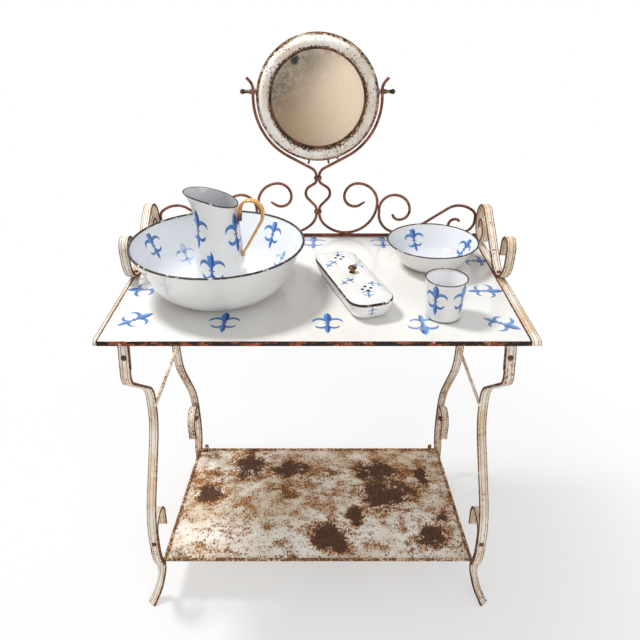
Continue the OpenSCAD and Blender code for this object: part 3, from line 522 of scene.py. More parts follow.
def rod_tree():
    """A round bar along a line of points that carry its size, with a hammered skin."""
    tree = Shape("round bar", Diameter=0.007, Hammering=0.0004, Grain=160.0, Around=20)
    size = tree.size
    section = tree.add("GeometryNodeCurvePrimitiveCircle", values={
        "Resolution": size["Around"], "Radius": size["Diameter"] * 0.5})
    line = tree.add("GeometryNodeMeshToCurve", values={0: size["Geometry"]})
    shape = tree.add("GeometryNodeCurveToMesh", values={
        "Curve": line, "Profile Curve": section, "Scale": tree.named("swell", "FLOAT"),
        "Fill Caps": True})
    dent = tree.add("ShaderNodeTexNoise", values={"Scale": size["Grain"], "Detail": 1.0})
    return tree.closed(tree.pushed(shape, tree.add("GeometryNodeInputNormal"),
                                   (dent - 0.75) * size["Hammering"]))


ROD = rod_tree()


def rod(name, points, diameter, finish, swell=None, hammering=0.3, closed=False, around=20):
    """A round rod along the points, swollen at each as told, or joined into a ring."""
    edges = [(k, k + 1) for k in range(len(points) - 1)]
    line = meshed(name, points, edges + ([(len(points) - 1, 0)] if closed else []),
                  swell=swell or [1.0] * len(points))
    return shaped(name, line, ROD, finish, Diameter=diameter * MM, Hammering=hammering * MM,
                  Around=around)


TIE_D = 8
waist_y, waist_z = walk(leg_start, TOP_HEADING, leg_steps[:4])[-1][0]
tie_from = waist_y + STRAP_T / 2 + GAP
tie_end = [(-STRAP_T - 2.6, 0.3), (-STRAP_T - 2.3, 0.85), (-STRAP_T - 1.4, 1.2),
           (-STRAP_T - 0.25, 1.24), (-STRAP_T - 0.1, 0.75), (-0.02, 0.75), (0, 0.98), (3, 1.0)]
near = [tie_from + a for a, _ in tie_end]
middle = [tie_from + 3 + k * (FRAME_DEPTH - 2 * tie_from - 6) / 30 for k in range(1, 30)]
depths = near + middle + [FRAME_DEPTH - d for d in reversed(near)]
swell = [s for _, s in tie_end]
swell += [1.0] * len(middle) + swell[::-1]
for name, sign in SIDES:
    tie = rod("tie_bar_" + name + "_rod",
              [on_table(sign * (LEG_X - 2), d, waist_z - 10) for d in depths], TIE_D,
              CREAM_PLAIN, swell)
    stand_in(tie, "tie_bar_" + name)

# Bolts and rivets: domed heads with hexagon nuts behind on the legs and feet, plain
# set rivets at the shelf and under the side scrolls. One shape is made for each kind
# and set at each place by its own axis.
STEEL = rusty("dark_iron_fastener", "#5e3d2b", "#30201a", "#8a5a3c", 1.6, 0.55)


def skinned(rings):
    """Rings of points joined in order; a ring of a single point closes the skin there."""
    points, faces, last = [], [], None
    around = max(map(len, rings))
    for ring in rings:
        now = range(len(points), len(points) + len(ring))
        points += ring
        for k in range(around if last else 0):
            quad = (last[k % len(last)], last[(k + 1) % len(last)],
                    now[(k + 1) % len(now)], now[k % len(now)])
            faces.append(list(dict.fromkeys(quad)))
        last = now
    return points, faces


def ring_at(radius, height, sides, first=0):
    """Millimetres round the z axis, or the one point on it."""
    return [Vector((radius * c, radius * s, height)) for c, s in (
        unit(first + 360 * k / sides) for k in range(sides if radius else 1))]


def turned_rings(profile, sides):
    """A profile of radius and height turned about the z axis."""
    return skinned([ring_at(radius, height, sides) for radius, height in profile])


def outward(mesh):
    """Every face turned to the outside of its closed shell."""
    shell = bmesh.new()
    shell.from_mesh(mesh)
    bmesh.ops.recalc_face_normals(shell, faces=shell.faces)
    shell.to_mesh(mesh)
    shell.free()
    return mesh


def fastener(name, d, front, back, nut):
    """A domed head in front, a shank, and a hexagon nut or a set tail behind."""
    head = [(0, front + 0.70 * d), (0.28 * d, front + 0.66 * d), (0.55 * d, front + 0.54 * d),
            (0.78 * d, front + 0.34 * d), (0.94 * d, front + 0.12 * d), (0.98 * d, front),
            (d / 2, front)]
    points, faces = turned_rings(head + [(d / 2, -back), (0, -back)], 24)
    if nut:
        low, worn = -nut - 0.8 * d, 0.4
        more, sides = turned_rings([(d / 2, -nut), (d, -nut), (1.05 * d, -nut - worn),
                                    (1.05 * d, low + worn), (d, low), (d / 2, low)], 6)
        faces += [[q + len(points) for q in f] for f in sides]
        points += more
    return outward(meshed(name, [p * MM for p in points], (), faces))


def fasteners(node, places, *sizes):
    """One shape at each place: its origin, the way its head points, and a flat side."""
    pattern = bpy.data.objects.new(node + "_pattern", fastener(node, *sizes))
    tree = Shape(node, Size=1.0)
    turn = tree.add("FunctionNodeAxesToRotation", {"primary_axis": "Z", "secondary_axis": "X"}, {
        "Primary Axis": tree.named("axis"), "Secondary Axis": tree.named("flat")})
    many = tree.add("GeometryNodeInstanceOnPoints", values={
        "Points": tree.size["Geometry"], "Rotation": turn, "Scale": tree.size["Size"],
        "Instance": tree.add("GeometryNodeObjectInfo", values={"Object": pattern},
                             out="Geometry")})
    spots, axis, side = zip(*places)
    spots = meshed(node, spots, axis=[v.normalized() for v in axis],
                   flat=[v.normalized() for v in side])
    piece = shaped(node + "_set", spots, tree.closed(many), STEEL, Size=1.0)
    bpy.data.objects.remove(pattern)
    stand_in(piece, node)


def on_legs(x, point, heading):
    """The place on each leg, with the axis square to the strap and to the front."""
    c, s = unit(heading)
    return [(corner(side, rear, x, *point), corner_way(side, rear, 0, s, -c),
             corner_way(side, rear, 1, 0, 0)) for _, side in SIDES for rear in (False, True)]


BOLT_D, RIVET_D, SHELF_LEVEL = 6, 5, -678
top_bolt = walk(leg_start, TOP_HEADING, [(30,)])[-1][0]
foot_top = walk(leg_start, TOP_HEADING, leg_steps[:8])[-1][0]
leg_back = STRAP_T / 2 + 2 * GAP + 4
foot_back = STRAP_T * 1.5 + 2 * GAP
shelf_back = STRAP_T / 2 + 2 * GAP + 8.4
fasteners("leg_bolts", on_legs(0, top_bolt, TOP_HEADING), BOLT_D, 3 + GAP, leg_back + 8,
          leg_back)
fasteners("foot_bolts", on_legs(0, (foot_top[0], foot_top[1] - 21), -90), BOLT_D, 3 + GAP,
          foot_back + 14, foot_back)
fasteners("shelf_rivets", on_legs(-6.5, (ankle[0], SHELF_LEVEL), -90), RIVET_D, 5.2,
          shelf_back + 1, 0)

# Shelf: a thin steel sheet with its edge rolled over a rod, narrower at the back. White
# paint, blown off in long patches that show dark rust, with orange stain round them
# and a freckling of small chips; the rolled rim keeps a pinkish cream coat.
RIM_R = 4
SHELF_FRONT, SHELF_BACK = 386 - RIM_R, 365 - RIM_R
shelf_y0 = ankle[0] + STRAP_T / 2 + GAP + RIM_R
shelf_y1 = FRAME_DEPTH - shelf_y0
# Where the paint has gone in whole patches, and where it is only speckled: the middle of
# each place in metres, then half its width and half its depth.
BARE_SPOTS = [(-0.20, 0.13, 0.05, 0.05), (-0.08, 0.11, 0.06, 0.03), (0.17, 0.10, 0.06, 0.04),
              (0.19, 0.01, 0.08, 0.05), (-0.30, 0.02, 0.04, 0.03), (0.03, -0.13, 0.05, 0.05),
              (0.30, 0.08, 0.02, 0.04), (0.29, -0.13, 0.04, 0.035), (0.10, -0.06, 0.022, 0.03),
              (0.33, -0.07, 0.025, 0.016)]
THIN_SPOTS = [(-0.09, 0.01, 0.12, 0.08), (-0.24, -0.16, 0.08, 0.04), (-0.35, 0.17, 0.09, 0.05),
              (0.04, 0.09, 0.08, 0.07), (0.24, 0.06, 0.14, 0.12), (0.28, -0.12, 0.08, 0.06),
              (-0.28, 0.08, 0.10, 0.09), (0.02, -0.10, 0.10, 0.07)]


def shelf_paint():
    finish = Finish("worn_white_shelf_paint")
    x, y, _ = finish.parts(finish.place())
    edge = finish.attribute("edge")
    ragged = finish.noise(26, 6, 0.72, 6.1, (0.8, 1.1, 1))
    fine = finish.noise(170, 6, 0.75, 3.3, (1.2, 0.8, 1))
    warm = finish.noise(6, 3, 0.6, 2.2).between(0.4, 0.65)
    finish.colour = finish.mix(warm, "#fffaf0", "#ecdcc4")
    # Browner in ragged patches towards the back of the shelf, with a little brown all over.
    browner_to_back = y.between(-0.13, -0.01) * (ragged * 0.6 + fine * 0.4).between(0.36, 0.58)
    finish.coat(browner_to_back * 0.85 + 0.05, "#b8956c")
    finish.coat(edge * 0.85, "#e2bd93")

    def nearness(spots):
        """How deep a point lies in the nearest of the spots."""
        near = 0.0
        for cx, cy, half_w, half_d in spots:
            u, v = (x - cx) / half_w, (y - cy) / half_d
            near = (1.5 - (u * u + v * v).root()).most(near)
        return near

    bald = nearness(BARE_SPOTS)
    worn = bald + ((ragged - 0.5) * 3.4 + (fine - 0.5) * 2.6) * bald.between(0.0, 0.5, 0.5, 1.0)
    loss = worn.between(0.50, 0.56)
    near = (worn + 0.5).between(0.0, 1.1).most(
        nearness(THIN_SPOTS) * (ragged - 0.2).between(0.1, 0.42))
    freckle = (fine + near * 0.15 + edge * 0.12 + (ragged - 0.5) * 0.30).between(0.650, 0.665)
    stain = near * 0.85 + edge * 0.45 + (fine - 0.5) * 1.2 + (ragged - 0.5) * 0.9
    finish.coat(stain.between(0.30, 0.95) * 0.7, finish.mix(
        (ragged + (fine - 0.5)).between(0.42, 0.62), "#cf9a58", "#a8713f"))
    halo = (bald + (ragged - 0.5) * 2.4).between(-0.1, 0.5)
    halo *= (ragged * 0.5 + fine * 0.5).between(0.40, 0.52)
    finish.coat(halo * 0.75, "#c9873a")
    finish.coat(freckle * 0.92, finish.mix(ragged.between(0.4, 0.6), "#371c10", "#6b3d1e"))
    finish.coat(loss, finish.mix(fine.between(0.36, 0.62), "#2f1709", "#5f3819"))
    bare = loss.most(freckle)
    return finish.done(0.42 + bare * 0.4, 1 - bare + fine * 0.2, 0.6, 0.0005)


def shelf_sheet():
    """The sheet's two faces as fine grids with a slight buckle."""
    across, along, depth = 96, 56, shelf_y1 - shelf_y0
    points, edge, faces = [], [], []
    for under in (0, SHEET):
        for j in range(along + 1):
            t = j / along
            half = SHELF_FRONT + (SHELF_BACK - SHELF_FRONT) * t
            for i in range(across + 1):
                s = i / across
                buckle = 0.35 * math.sin(5.1 * s + 1.3) * math.sin(3.7 * t + 0.4)
                buckle *= min(1, 6 * min(s, 1 - s, t, 1 - t))
                points.append(on_table(half * (2 * s - 1), shelf_y0 + depth * t,
                                       SHELF_LEVEL - under + buckle - 0.35))
                gap = min(min(s, 1 - s) * 2 * half, min(t, 1 - t) * depth)
                edge.append(max(0.0, 1 - gap / 9))
    row = across + 1
    for j in range(along):
        for a in range(j * row, j * row + across):
            b = a + row * (along + 1)
            faces += [(a, a + 1, a + 1 + row, a + row), (b, b + row, b + 1 + row, b + 1)]
    return meshed("shelf_sheet", points, (), faces, edge=edge)


def joined(main, other):
    """Two meshes of one piece made one object."""
    with bpy.context.temp_override(active_object=main, object=main,
                                   selected_editable_objects=[main, other]):
        bpy.ops.object.join()
    return main


SHELF_PAINT = shelf_paint()
sheet = shelf_sheet()
sheet.materials.append(SHELF_PAINT)
rim_corners = [(-SHELF_FRONT, shelf_y0), (SHELF_FRONT, shelf_y0), (SHELF_BACK, shelf_y1),
               (-SHELF_BACK, shelf_y1)]
rim_line = []
for k, (x, y) in enumerate(rim_corners):
    (nx, ny), (px, py) = rim_corners[(k + 1) % 4], rim_corners[k - 1]
    before, after = math.hypot(px - x, py - y), math.hypot(nx - x, ny - y)
    for a in (0, 0.25, 0.5, 0.75, 1):
        back, ahead = 3.2 * (1 - a) ** 2 / before, 3.2 * a ** 2 / after
        rim_line.append((x + (px - x) * back + (nx - x) * ahead,
                         y + (py - y) * back + (ny - y) * ahead))
    rim_line += [(x + (nx - x) * q / 40, y + (ny - y) * q / 40) for q in range(1, 40)]
rim = rod("shelf_rim", [on_table(x, y, SHELF_LEVEL) for x, y in rim_line], 2 * RIM_R,
          SHELF_PAINT, closed=True, hammering=0.5, around=24)
rim.data.attributes.new("edge", "FLOAT", "POINT").data.foreach_set(
    "value", [1.0] * len(rim.data.vertices))
shaded(sheet)
stand_in(joined(in_scene("shelf_rolled_sheet", sheet), rim), "shelf")

# Enamelled top: sheet iron pressed over at the front and back, ivory enamel with blue
# lilies stencilled round it. A thin black line runs up each side; the front lip is
# black where the enamel has gone, with rust and white flakes.
PLATE_X0, PLATE_X1, PLATE_BACK = -411.5, 399.5, 506


def lily(finish, local):
    """Masks of the traditional lily on a -1 to 1 square: blue, its shade, glow and band."""
    x, y, fade = finish.parts(local)
    wide, up = abs(x) * 0.72, y * 1.06

    def far(cx, cy):
        return ((wide - cx) * (wide - cx) + (up - cy) * (up - cy)).root()

    def petal(cy, half_w, half_h):
        set_back = (half_h ** 2 - half_w ** 2) / (2 * half_w)
        return far(-set_back, cy) - (set_back + half_w)

    def horn(outer, inner):
        return (far(*outer[:2]) - outer[2]).most(inner[2] - far(*inner[:2]))

    centre = petal(0.60, 0.19, 0.46).least(petal(-0.56, 0.13, 0.42)).least(petal(0, 0.07, 0.4))
    above = horn((0.36, 0.18, 0.355), (0.395, 0.03, 0.32)).most(0.06 + wide * 0.10 - up)
    below = horn((0.29, -0.25, 0.285), (0.315, -0.13, 0.25)).most(up + 0.07 + wide * 0.34)
    sides = above.least(below)
    shape = centre.least(sides)
    blotch = finish.noise(90, 3, 0.6, 6.6)
    blue = shape.between(0.012, -0.012) * (1 - fade * blotch.between(0.40, 0.58))
    rind = sides.between(-0.07, -0.02) * centre.between(0.0, 0.02)
    shade = (x.between(-0.03, 0.03) * centre.between(0.02, 0.0)).most(rind) * 0.8
    shade += (blotch - 0.42) * 1.1
    glow = (shape + x * 0.03).between(0.075, 0.0) * blotch.between(0.40, 0.54) * (1 - fade * 0.6)
    band = (wide - 0.17).most(abs(up + x * 0.08 + 0.02) - 0.035).between(0.012, -0.012)
    return blue, shade, glow, band * (1 - fade)


def paint_lilies(finish, chart, places):
    """Each place on the chart is (across, up, turn, half width, half height, fading)."""
    x, y, _ = finish.parts(chart)
    level = finish.add("ShaderNodeCombineXYZ", values={0: x, 1: y})
    local = (9.0, 9.0, 0.0)
    for across, up, turn, half_w, half_h, fading in places:
        own = finish.add("ShaderNodeMapping", {"vector_type": "TEXTURE"}, {
            "Vector": level, "Location": (across, up, -fading),
            "Rotation": (0, 0, turn * DEG), "Scale": (half_w, half_h, 1)})
        x, y, _ = finish.parts(own)
        here = abs(x).most(abs(y)).under(1.12)
        local = finish.add("ShaderNodeMix", {"data_type": "VECTOR"}, {0: here, 4: local, 5: own}, 1)
    blue, shade, glow, band = lily(finish, local)
    finish.coat(glow * 0.8, "#a9d1f4")
    finish.coat(blue * 0.95, finish.mix(shade.between(-0.05, 0.8), "#1f84dc", "#00307c"))
    finish.coat(band * 0.9, "#4c5f80")


def plate_enamel():
    finish = Finish("ivory_enamel_with_blue_lilies", Coat_Weight=0.25, Coat_Roughness=0.12)
    finish.colour = finish.mix(finish.noise(4, 3, 0.6, 1.9).between(0.35, 0.65),
                               "#eeedea", "#e8e5e0")
    paint_lilies(finish, finish.place(), [
        (x * MM, (y + FRONT_EDGE) * MM, turn, 0.030, 0.040, fade) for x, y, turn, fade in (
            (-360, 80, -50, 0.15), (-182, 69, 0, 0.0), (20, 66, 0, 0.0), (205, 63, 180, 0.3),
            (358, 66, 235, 0.25), (-370, 209, 90, 0.1), (358, 203, 270, 0.1),
            (368, 357, 270, 0.1), (-11, 468, 0, 0.2), (163, 468, 0, 0.2), (-190, 468, 0, 0.1),
            (-368, 372, 90, 0.1))])
    edge, lip = finish.attribute("edge"), finish.attribute("lip")
    fine = finish.noise(170, 5, 0.7, 2.7)
    patch = finish.noise(26, 5, 0.7, 11.2, (1, 1, 3))
    bare = (edge + (fine - 0.5) * 0.9).between(0.55, 0.62)
    gone = (lip * 1.2 + (fine - 0.5) * 0.9 + (patch - 0.5) * 0.5).between(0.52, 0.60)
    finish.coat(bare.most(gone), finish.mix(
        (patch + (fine - 0.5) * 0.4).between(0.48, 0.58), "#1d110c", "#984a20"))
    flake = lip * (fine * 0.7 + patch * 0.3).between(0.60, 0.63)
    finish.coat(flake * 0.85, "#efe8da")
    lost = bare.most(gone) * (1 - flake)
    return finish.done(0.16 + lost * 0.7, 1 - lost + finish.noise(3, 1, 0.5, 8.1) * 2, 0.5,
                       0.0004, coat=0.25 - lost * 0.25)


def pressed_top():
    """The section from the back fold over the top and down the front lip, along x."""
    section = [(504.6, -6.6), (505.6, -6.6), (506, -6.2), (506, -1.6), (505.6, -0.5), (504.6, 0.0)]
    section += [(504.6 - 500.4 * k / 64, 0.0) for k in range(1, 64)]
    section += [(4.2 - 4.2 * s, -4.2 + 4.2 * c) for c, s in (unit(90 * k / 8) for k in range(9))]
    section += [(0, -6.5), (0, -8.6), (0.1, -10.5), (0.5, -11), (1.1, -11), (1.5, -10.5),
                (1.6, -8.6), (1.6, -5.2), (2.2, -3.6), (3.2, -2.3), (4.4, -1.6)]
    section += [(4.4 + 500 * k / 24, -1.6) for k in range(1, 25)] + [(504.4, -2.6), (504.4, -6.0)]
    columns, count, rings, lip, edge = 120, len(section), [], [], []
    for i in range(columns + 1):
        x = PLATE_X0 + (PLATE_X1 - PLATE_X0) * i / columns
        wave = abs(0.3 * math.sin(i * 0.9) * math.sin(i * 0.37))
        rings.append([on_table(x, y + wave * 0.5 * (y < 250) * within((-z - 0.2) / 3), z)
                      for y, z in section])
        lip += [within(-z / 2.2) if y < 5 else 0.0 for y, z in section]
        edge += [within(1.12 - min(x - PLATE_X0, PLATE_X1 - x, PLATE_BACK - y) / 4.5)
                 for y, z in section]
    points, faces = skinned(rings)
    faces += [list(range(count))[::-1], list(range(columns * count, (columns + 1) * count))]
    return meshed("pressed_top", points, (), faces, lip=lip, edge=edge)


def finished(name, mesh, finish):
    """The closed shell as an object with its finish, in the scene."""
    outward(mesh)
    mesh.materials.append(finish)
    shaded(mesh)
    return in_scene(name, mesh)


stand_in(finished("enamelled_top", pressed_top(), plate_enamel()), "top_plate")

# Side scrolls: one long strap each, rolled up at both ends, standing on the plate's
# edge at the left and on the bar at the right, and held down by one rivet through the
# bar and the cross bar.
SCROLL_Y = 285
SCROLL_STEPS = [(26,), (22, 180), (22,), (55, 90), (60, 33.8), (142,), (44, -213.8), (27, -180),
                (13, -90), (12,)]
rivet_places = []
for (name, sign), seat in zip(SIDES, (0.0, -SHEET)):
    line = walk((SCROLL_Y - 55 + 44, seat + STRAP_T / 2 + GAP + 51), 90, SCROLL_STEPS)
    cream_strap("side_scroll_" + name, upright(line, sign * BAR_X), BAR_W)
    rivet_places.append((on_table(sign * BAR_X, SCROLL_Y, seat + STRAP_T + 0.6),
                         Vector((0, 0, 1)), Vector((1, 0, 0))))
fasteners("scroll_rivets", rivet_places, BOLT_D, 0, 21.5, 0)

# Back irons: round rods bent cold into scrolls. The two long rods carry the mirror, wrap
# round it, cross through the baluster and end in the large scrolls on the rail; shorter
# rods make the middle and outer scrolls. Bare iron, evenly rusted red-brown.
ROD_D, MIRROR_Z, YOKE_R, PIVOT_RISE = 7, 337, 149, 17
PIVOT_X, PIVOT_Z = math.sqrt(YOKE_R ** 2 - PIVOT_RISE ** 2), MIRROR_Z + PIVOT_RISE
ROD_SEAT, NECK_X, EYE_END = 6 + ROD_D / 2 + GAP, ROD_D / 2 + GAP, ROD_D / 2 + 1.5
ROD_RUST = rusty("red_brown_rod", "#8b4a2f", "#5a2c1e", "#b87850", 1.3, 0.62)
# From the tip behind the nut to the neck under the mirror.
arm = math.atan(PIVOT_RISE / PIVOT_X) / DEG
tip_heading, tip_steps = arm - 90 - 51.6, [(8,), (30, 51.6)]
reach = walk((0, 0), tip_heading, tip_steps)[-1][0]
tip = (PIVOT_X - reach[0], PIVOT_Z - reach[1])
NECK_R = 22
c, s = unit(62)
neck_run = (YOKE_R * c - NECK_R * (1 - c) - NECK_X) / s
neck_end = MIRROR_Z - (YOKE_R + NECK_R) * s - neck_run * c
# The baluster, and down to the rail.
BALUSTER, BELLY_R, ROOT_R, FLARE_R, SWEEP_R, LARGE_R = 30, 32, 40, 43.5, 76, 79
c, s = unit(58)
belly_run = (BALUSTER - NECK_X - BELLY_R * (1 - c)) / s
belly_drop = BELLY_R * s + belly_run * c
c, s = unit(44)
root_run = (BALUSTER - NECK_X - ROOT_R * (1 - c)) / s
lower = neck_end - 9 - belly_drop - ROOT_R * s - root_run * c
c = unit(45)[0]
lower_run = lower - ROD_SEAT - FLARE_R * c - SWEEP_R * (1 - c)
large_middle = NECK_X + FLARE_R * (1 - c) + SWEEP_R * c
MIDDLE_R, MIDDLE_RISE = 50, 12.5  # the middle scroll's side touches the large one's
middle_x = large_middle + math.sqrt(
    (LARGE_R + ROD_D + 2 * GAP) ** 2 - (LARGE_R - MIDDLE_R - MIDDLE_RISE) ** 2)
# The outer scroll, whose crown ends against the side scroll.
OUTER_IN, OUTER_OUT, RISE_RUN, RISE_R, BROW_R = 353.5, 399.5, 103, 40, 60
c, s = unit(40)
crown = (OUTER_OUT - OUTER_IN - BROW_R * s) / (1 - s)
outer_fall = -BROW_R * (1 - c) - crown * c - 10
c, s = unit(34)
outer_fall += (RISE_R + 45) * (1 - c) + RISE_RUN * s
RODS = {
    "long_rod": (tip, tip_heading, tip_steps + [
        (YOKE_R, -62 - arm), (neck_run,), (NECK_R, 62), (9,), (12, 58), (belly_run,), (20, -102),
        (root_run,), (20, 44), (lower_run,), (FLARE_R, 45), (SWEEP_R, 45), (LARGE_R, 90),
        (50, 90), (33, 90), (26, 123), (14,)]),
    "middle_scroll": ((middle_x + MIDDLE_R, ROD_SEAT), 180,
                      [(MIDDLE_R, -90), (MIDDLE_RISE,), (37, -90), (40, -90), (25, -90),
                       (18, -80)]),
    "outer_scroll": ((OUTER_IN - (RISE_R + 45) * s - RISE_RUN * c, ROD_SEAT), 0,
                     [(RISE_R, 34), (RISE_RUN,), (45, -34), (BROW_R, -40), (crown, -50), (10,),
                      (outer_fall, -90), (14,), (20, -90), (16, -90), (13, -60)])}


def turned(name, profile, sides, carry, finish):
    """Turned work: a profile of radius and height, each point carried to its place."""
    points, faces = turned_rings(profile, sides)
    return finished(name, meshed(name, [carry(*p) for p in points], (), faces), finish)


def sideways(sign, start):
    """Carries turned work onto the mirror's tilting axis, pointing to that side."""
    return lambda x, y, z: on_table(sign * (start + z), FRAME_DEPTH + x, PIVOT_Z + y)


for kind, (start, heading, steps) in RODS.items():
    line = walk(start, heading, steps, 5, 8)
    for side, sign in SIDES:
        node = "%s_%s" % (kind, side)
        bar = rod(node + "_bar", [on_table(sign * x, FRAME_DEPTH, z) for (x, z), _ in line],
                  ROD_D, ROD_RUST, [1.0] * (len(line) - 3) + [0.98, 0.85, 0.55])
        if kind == "long_rod":
            # The eye that the mirror's pin turns in is hammered out of the rod.
            eye_section = [(2.9, -3.5), (5.4, -3.5), (6, -2.9), (6, EYE_END - 0.6),
                           (5.4, EYE_END), (2.9, EYE_END), (2.9, -3.5)]
            joined(bar, turned("eye", eye_section, 36, sideways(sign, PIVOT_X), ROD_RUST))
        stand_in(bar, node)
for node in ("upper_collar", "lower_collar"):
    eased(node, ROD_RUST, 0.9)

# Mirror: a pressed and painted ring with a round bulge holds the glass against a thin
# board and a dished back. The white paint has flaked in a dark, rusty line all round
# the glass; the silvering has gone grey in clouds towards the upper left.
MIRROR_R, GLASS_R = 142, 107


def facing_front(x, y, z):
    """Turned work carried to the mirror's own axis, pointing to the front."""
    return on_table(x, FRAME_DEPTH - z, MIRROR_Z + y)


def ring_paint():
    finish = Finish("flaking_white_ring_paint")
    x, _, z = finish.parts(finish.place())
    rise = z - (TOP_LEVEL + MIRROR_Z) * MM
    radius = (x * x + rise * rise).root()
    grain, patch = finish.noise(210, 6, 0.72, 2.9), finish.noise(26, 4, 0.65, 7.4)
    ragged = (patch - 0.5) + (grain - 0.5) * 0.5
    rim, step = radius.between(0.1345, 0.1375), radius.between(0.1205, 0.1090)
    finish.colour = finish.mix(finish.noise(18, 4, 0.6, 5.1).between(0.38, 0.62),
                               "#f8f3ec", "#e6d8c6")
    finish.coat((rim * 0.9 + step * 0.5) * patch.between(0.3, 0.5), "#e3bf92")
    gone = (grain + step * 0.19 + rim * 0.10 + patch * 0.36).between(0.775, 0.795)
    stain = (grain * 0.8 + step * 0.34 + rim * 0.24 + patch * 0.36).between(0.74, 0.96)
    finish.coat(stain * 0.75, "#c07a3a")
    seam = abs(radius - 0.1368).between(0.0012, 0.0003) * ragged.between(-0.08, 0.02)
    outer = radius.between(0.1391, 0.1403) * ragged.between(-0.20, -0.10)
    inner = (radius + ragged * 0.006).between(0.1091, 0.1085)
    lost = gone.most(seam * 0.8).most(outer * 0.9).most(inner)
    finish.coat(lost, finish.mix(finish.noise(60, 3, 0.6, 1.1).between(0.42, 0.6),
                                 "#2a1912", "#7a4322"))
    return finish.done(0.30 + lost * 0.45, 1 - lost + grain * 0.2, 0.6, 0.0005)


def foxed_silver():
    finish = Finish("foxed_mirror_silver", Specular_IOR_Level=0.6)
    x, _, z = finish.parts(finish.place())
    rise = z - (TOP_LEVEL + MIRROR_Z) * MM
    corner_side = (x * -0.66 + rise * 0.62 - 0.008).between(-0.02, 0.10)
    rim = (x * x + rise * rise).root().between(0.085, 0.108)
    cloud, speck = finish.noise(26, 5, 0.65, 2.2), finish.noise(130, 6, 0.75, 5.9)
    # Painted reflection: the glass runs from dark brown at the left to pale cream at the right, a
    # little lighter upward.
    finish.colour = finish.mix((x + rise * 0.3).between(-0.11, 0.10), "#a58b6d", "#f1ddc2")
    grey = corner_side * (cloud * 0.7 + speck * 0.3).between(0.34, 0.54)
    finish.coat(grey * 0.92, "#564a3e")
    mottle = (speck + corner_side * 0.13 + rim * 0.05).between(0.585, 0.65)
    finish.coat(mottle * (0.08 + corner_side * 0.7), "#c3b8a6")
    spot_x, spot_z = x + 0.050, rise - 0.082
    spot = (spot_x * spot_x + spot_z * spot_z * 0.5).root()
    dark = (spot - (cloud - 0.5) * 0.03 - (speck - 0.5) * 0.03).between(0.013, 0.004)
    black = (speck * 0.6 + cloud * 0.5 + corner_side * 0.12).between(0.70, 0.76) * corner_side
    finish.coat(dark.most(black * 0.8), "#2c2822")
    return finish.done(0.24 + corner_side * 0.3 + mottle * 0.2, speck, 0.08, 0.0003,
                       0.5 - (mottle * 0.25 + corner_side * 0.25))


def board():
    finish = Finish("old_pine_backing", Roughness=0.8)
    grain = finish.noise(14, 5, 0.6, 3.2, (14, 1, 1))
    finish.colour = finish.mix(grain.between(0.35, 0.65), "#7d5c3c", "#b08a5e")
    return finish.done(None, grain, 0.3, 0.001)


def half_round(middle, radius, height, count):
    """Points over a half round, from its outside to its inside."""
    return [(middle + radius * c, height * s) for c, s in (
        unit(180 * k / count) for k in range(count + 1))]


bulge = [(r, 1.5 + z) for r, z in half_round(123, 13, 18.5, 24)[23:0:-1]]
ring_section = [(GLASS_R, 0.1), (GLASS_R, 1.4), (107.5, 1.8)] + bulge
ring_section += [(136.6, 1.9), (138, 1.5), (MIRROR_R - 0.6, 1.5), (MIRROR_R, 1.0),
                 (MIRROR_R, 0.4), (MIRROR_R - 0.6, 0), (136, 0)]
ring_section += half_round(123, 11.5, 17, 12)[:12] + [(111.5, 0), (107.3, 0), (GLASS_R, 0.1)]
glass_section = [(0, -0.05), (109.4, -0.05), (110, -0.5), (110, -2.6), (109.4, -3.05), (0, -3.05)]
board_section = [(0, -3.2), (108.6, -3.2), (109, -3.6), (109, -6.5), (108.6, -6.9), (0, -6.9)]
pan_section = [(0, -8), (20, -8), (24, -7.6), (30, -7.6), (34, -8), (112, -8), (114.4, -7.9),
               (116, -7.2), (133, -1.3), (134.6, -1.05), (139.4, -1.05), (140, -0.7),
               (139.6, -0.06), (134, -0.06), (113, -6.8), (0, -7)]
for node, name, section, sides, finish, slot in (
        ("mirror_ring", "painted_mirror_ring", ring_section, 160, ring_paint(), "ring_paint"),
        ("mirror_glass", "foxed_looking_glass", glass_section, 128, foxed_silver(), "mirror"),
        ("mirror_backing", "backing_board", board_section, 96, board(), "backing_board"),
        ("mirror_pan", "dished_back", pan_section, 128, RUST, "rusty_iron")):
    stand_in(turned(name, section, sides, facing_front, finish), node, "mirror")
eased("mirror_tabs", ROD_RUST, 0.4, "mirror")

# Pins and thumb nuts: a short iron pin is riveted to each side of the ring and passes
# through the rod's eye; a turned brass nut with a ball end grips it outside.
eased("pivot_pins", STEEL, 0.3, "mirror")


def old_metal(name, dark, light):
    finish = Finish(name, Metallic=0.85)
    cloud, fine = finish.noise(120, 4, 0.65, 3.3), finish.noise(420, 4, 0.6, 1.4)
    finish.colour = finish.mix(cloud.between(0.42, 0.58), dark, light)
    finish.coat(fine.between(0.56, 0.64) * 0.7, "#2a2018")
    return finish.done(0.30 + cloud * 0.3, fine, 0.3, 0.0002)


DULL_BRASS = old_metal("dull_brass", "#2e2822", "#8d8375")
PLAY = 0.3  # between a loose piece and what carries it
BALL_R = 6
bore = [(0, 13.6), (2.8, 13.6), (2.8, 0)]
body = [(4.9, 0), (5.5, 0.6), (5.5, 3.2), (4.9, 3.9), (3.9, 4.3), (3.8, 11.8), (4.6, 12.6),
        (4.6, 13.4), (3.9, 13.9)]
ball = [(BALL_R * s, 19 - BALL_R * c) for c, s in map(unit, range(42, 180, 12))] + [(0, 25)]
for side, sign in SIDES:
    nut = turned("ball_thumb_nut_" + side, bore + body + ball, 40,
                 sideways(sign, PIVOT_X + EYE_END + PLAY), DULL_BRASS)
    stand_in(nut, "thumb_nut_" + side, side + "_nut")

# Wash basin: spun sheet iron under thick bluish-white enamel, with a rolled rim dipped
# in black that has chipped. Blue lilies are stencilled inside, one ring under the rim
# and a fainter one lower down.
INSIDE = 1000  # how far up a vessel's map its inside begins


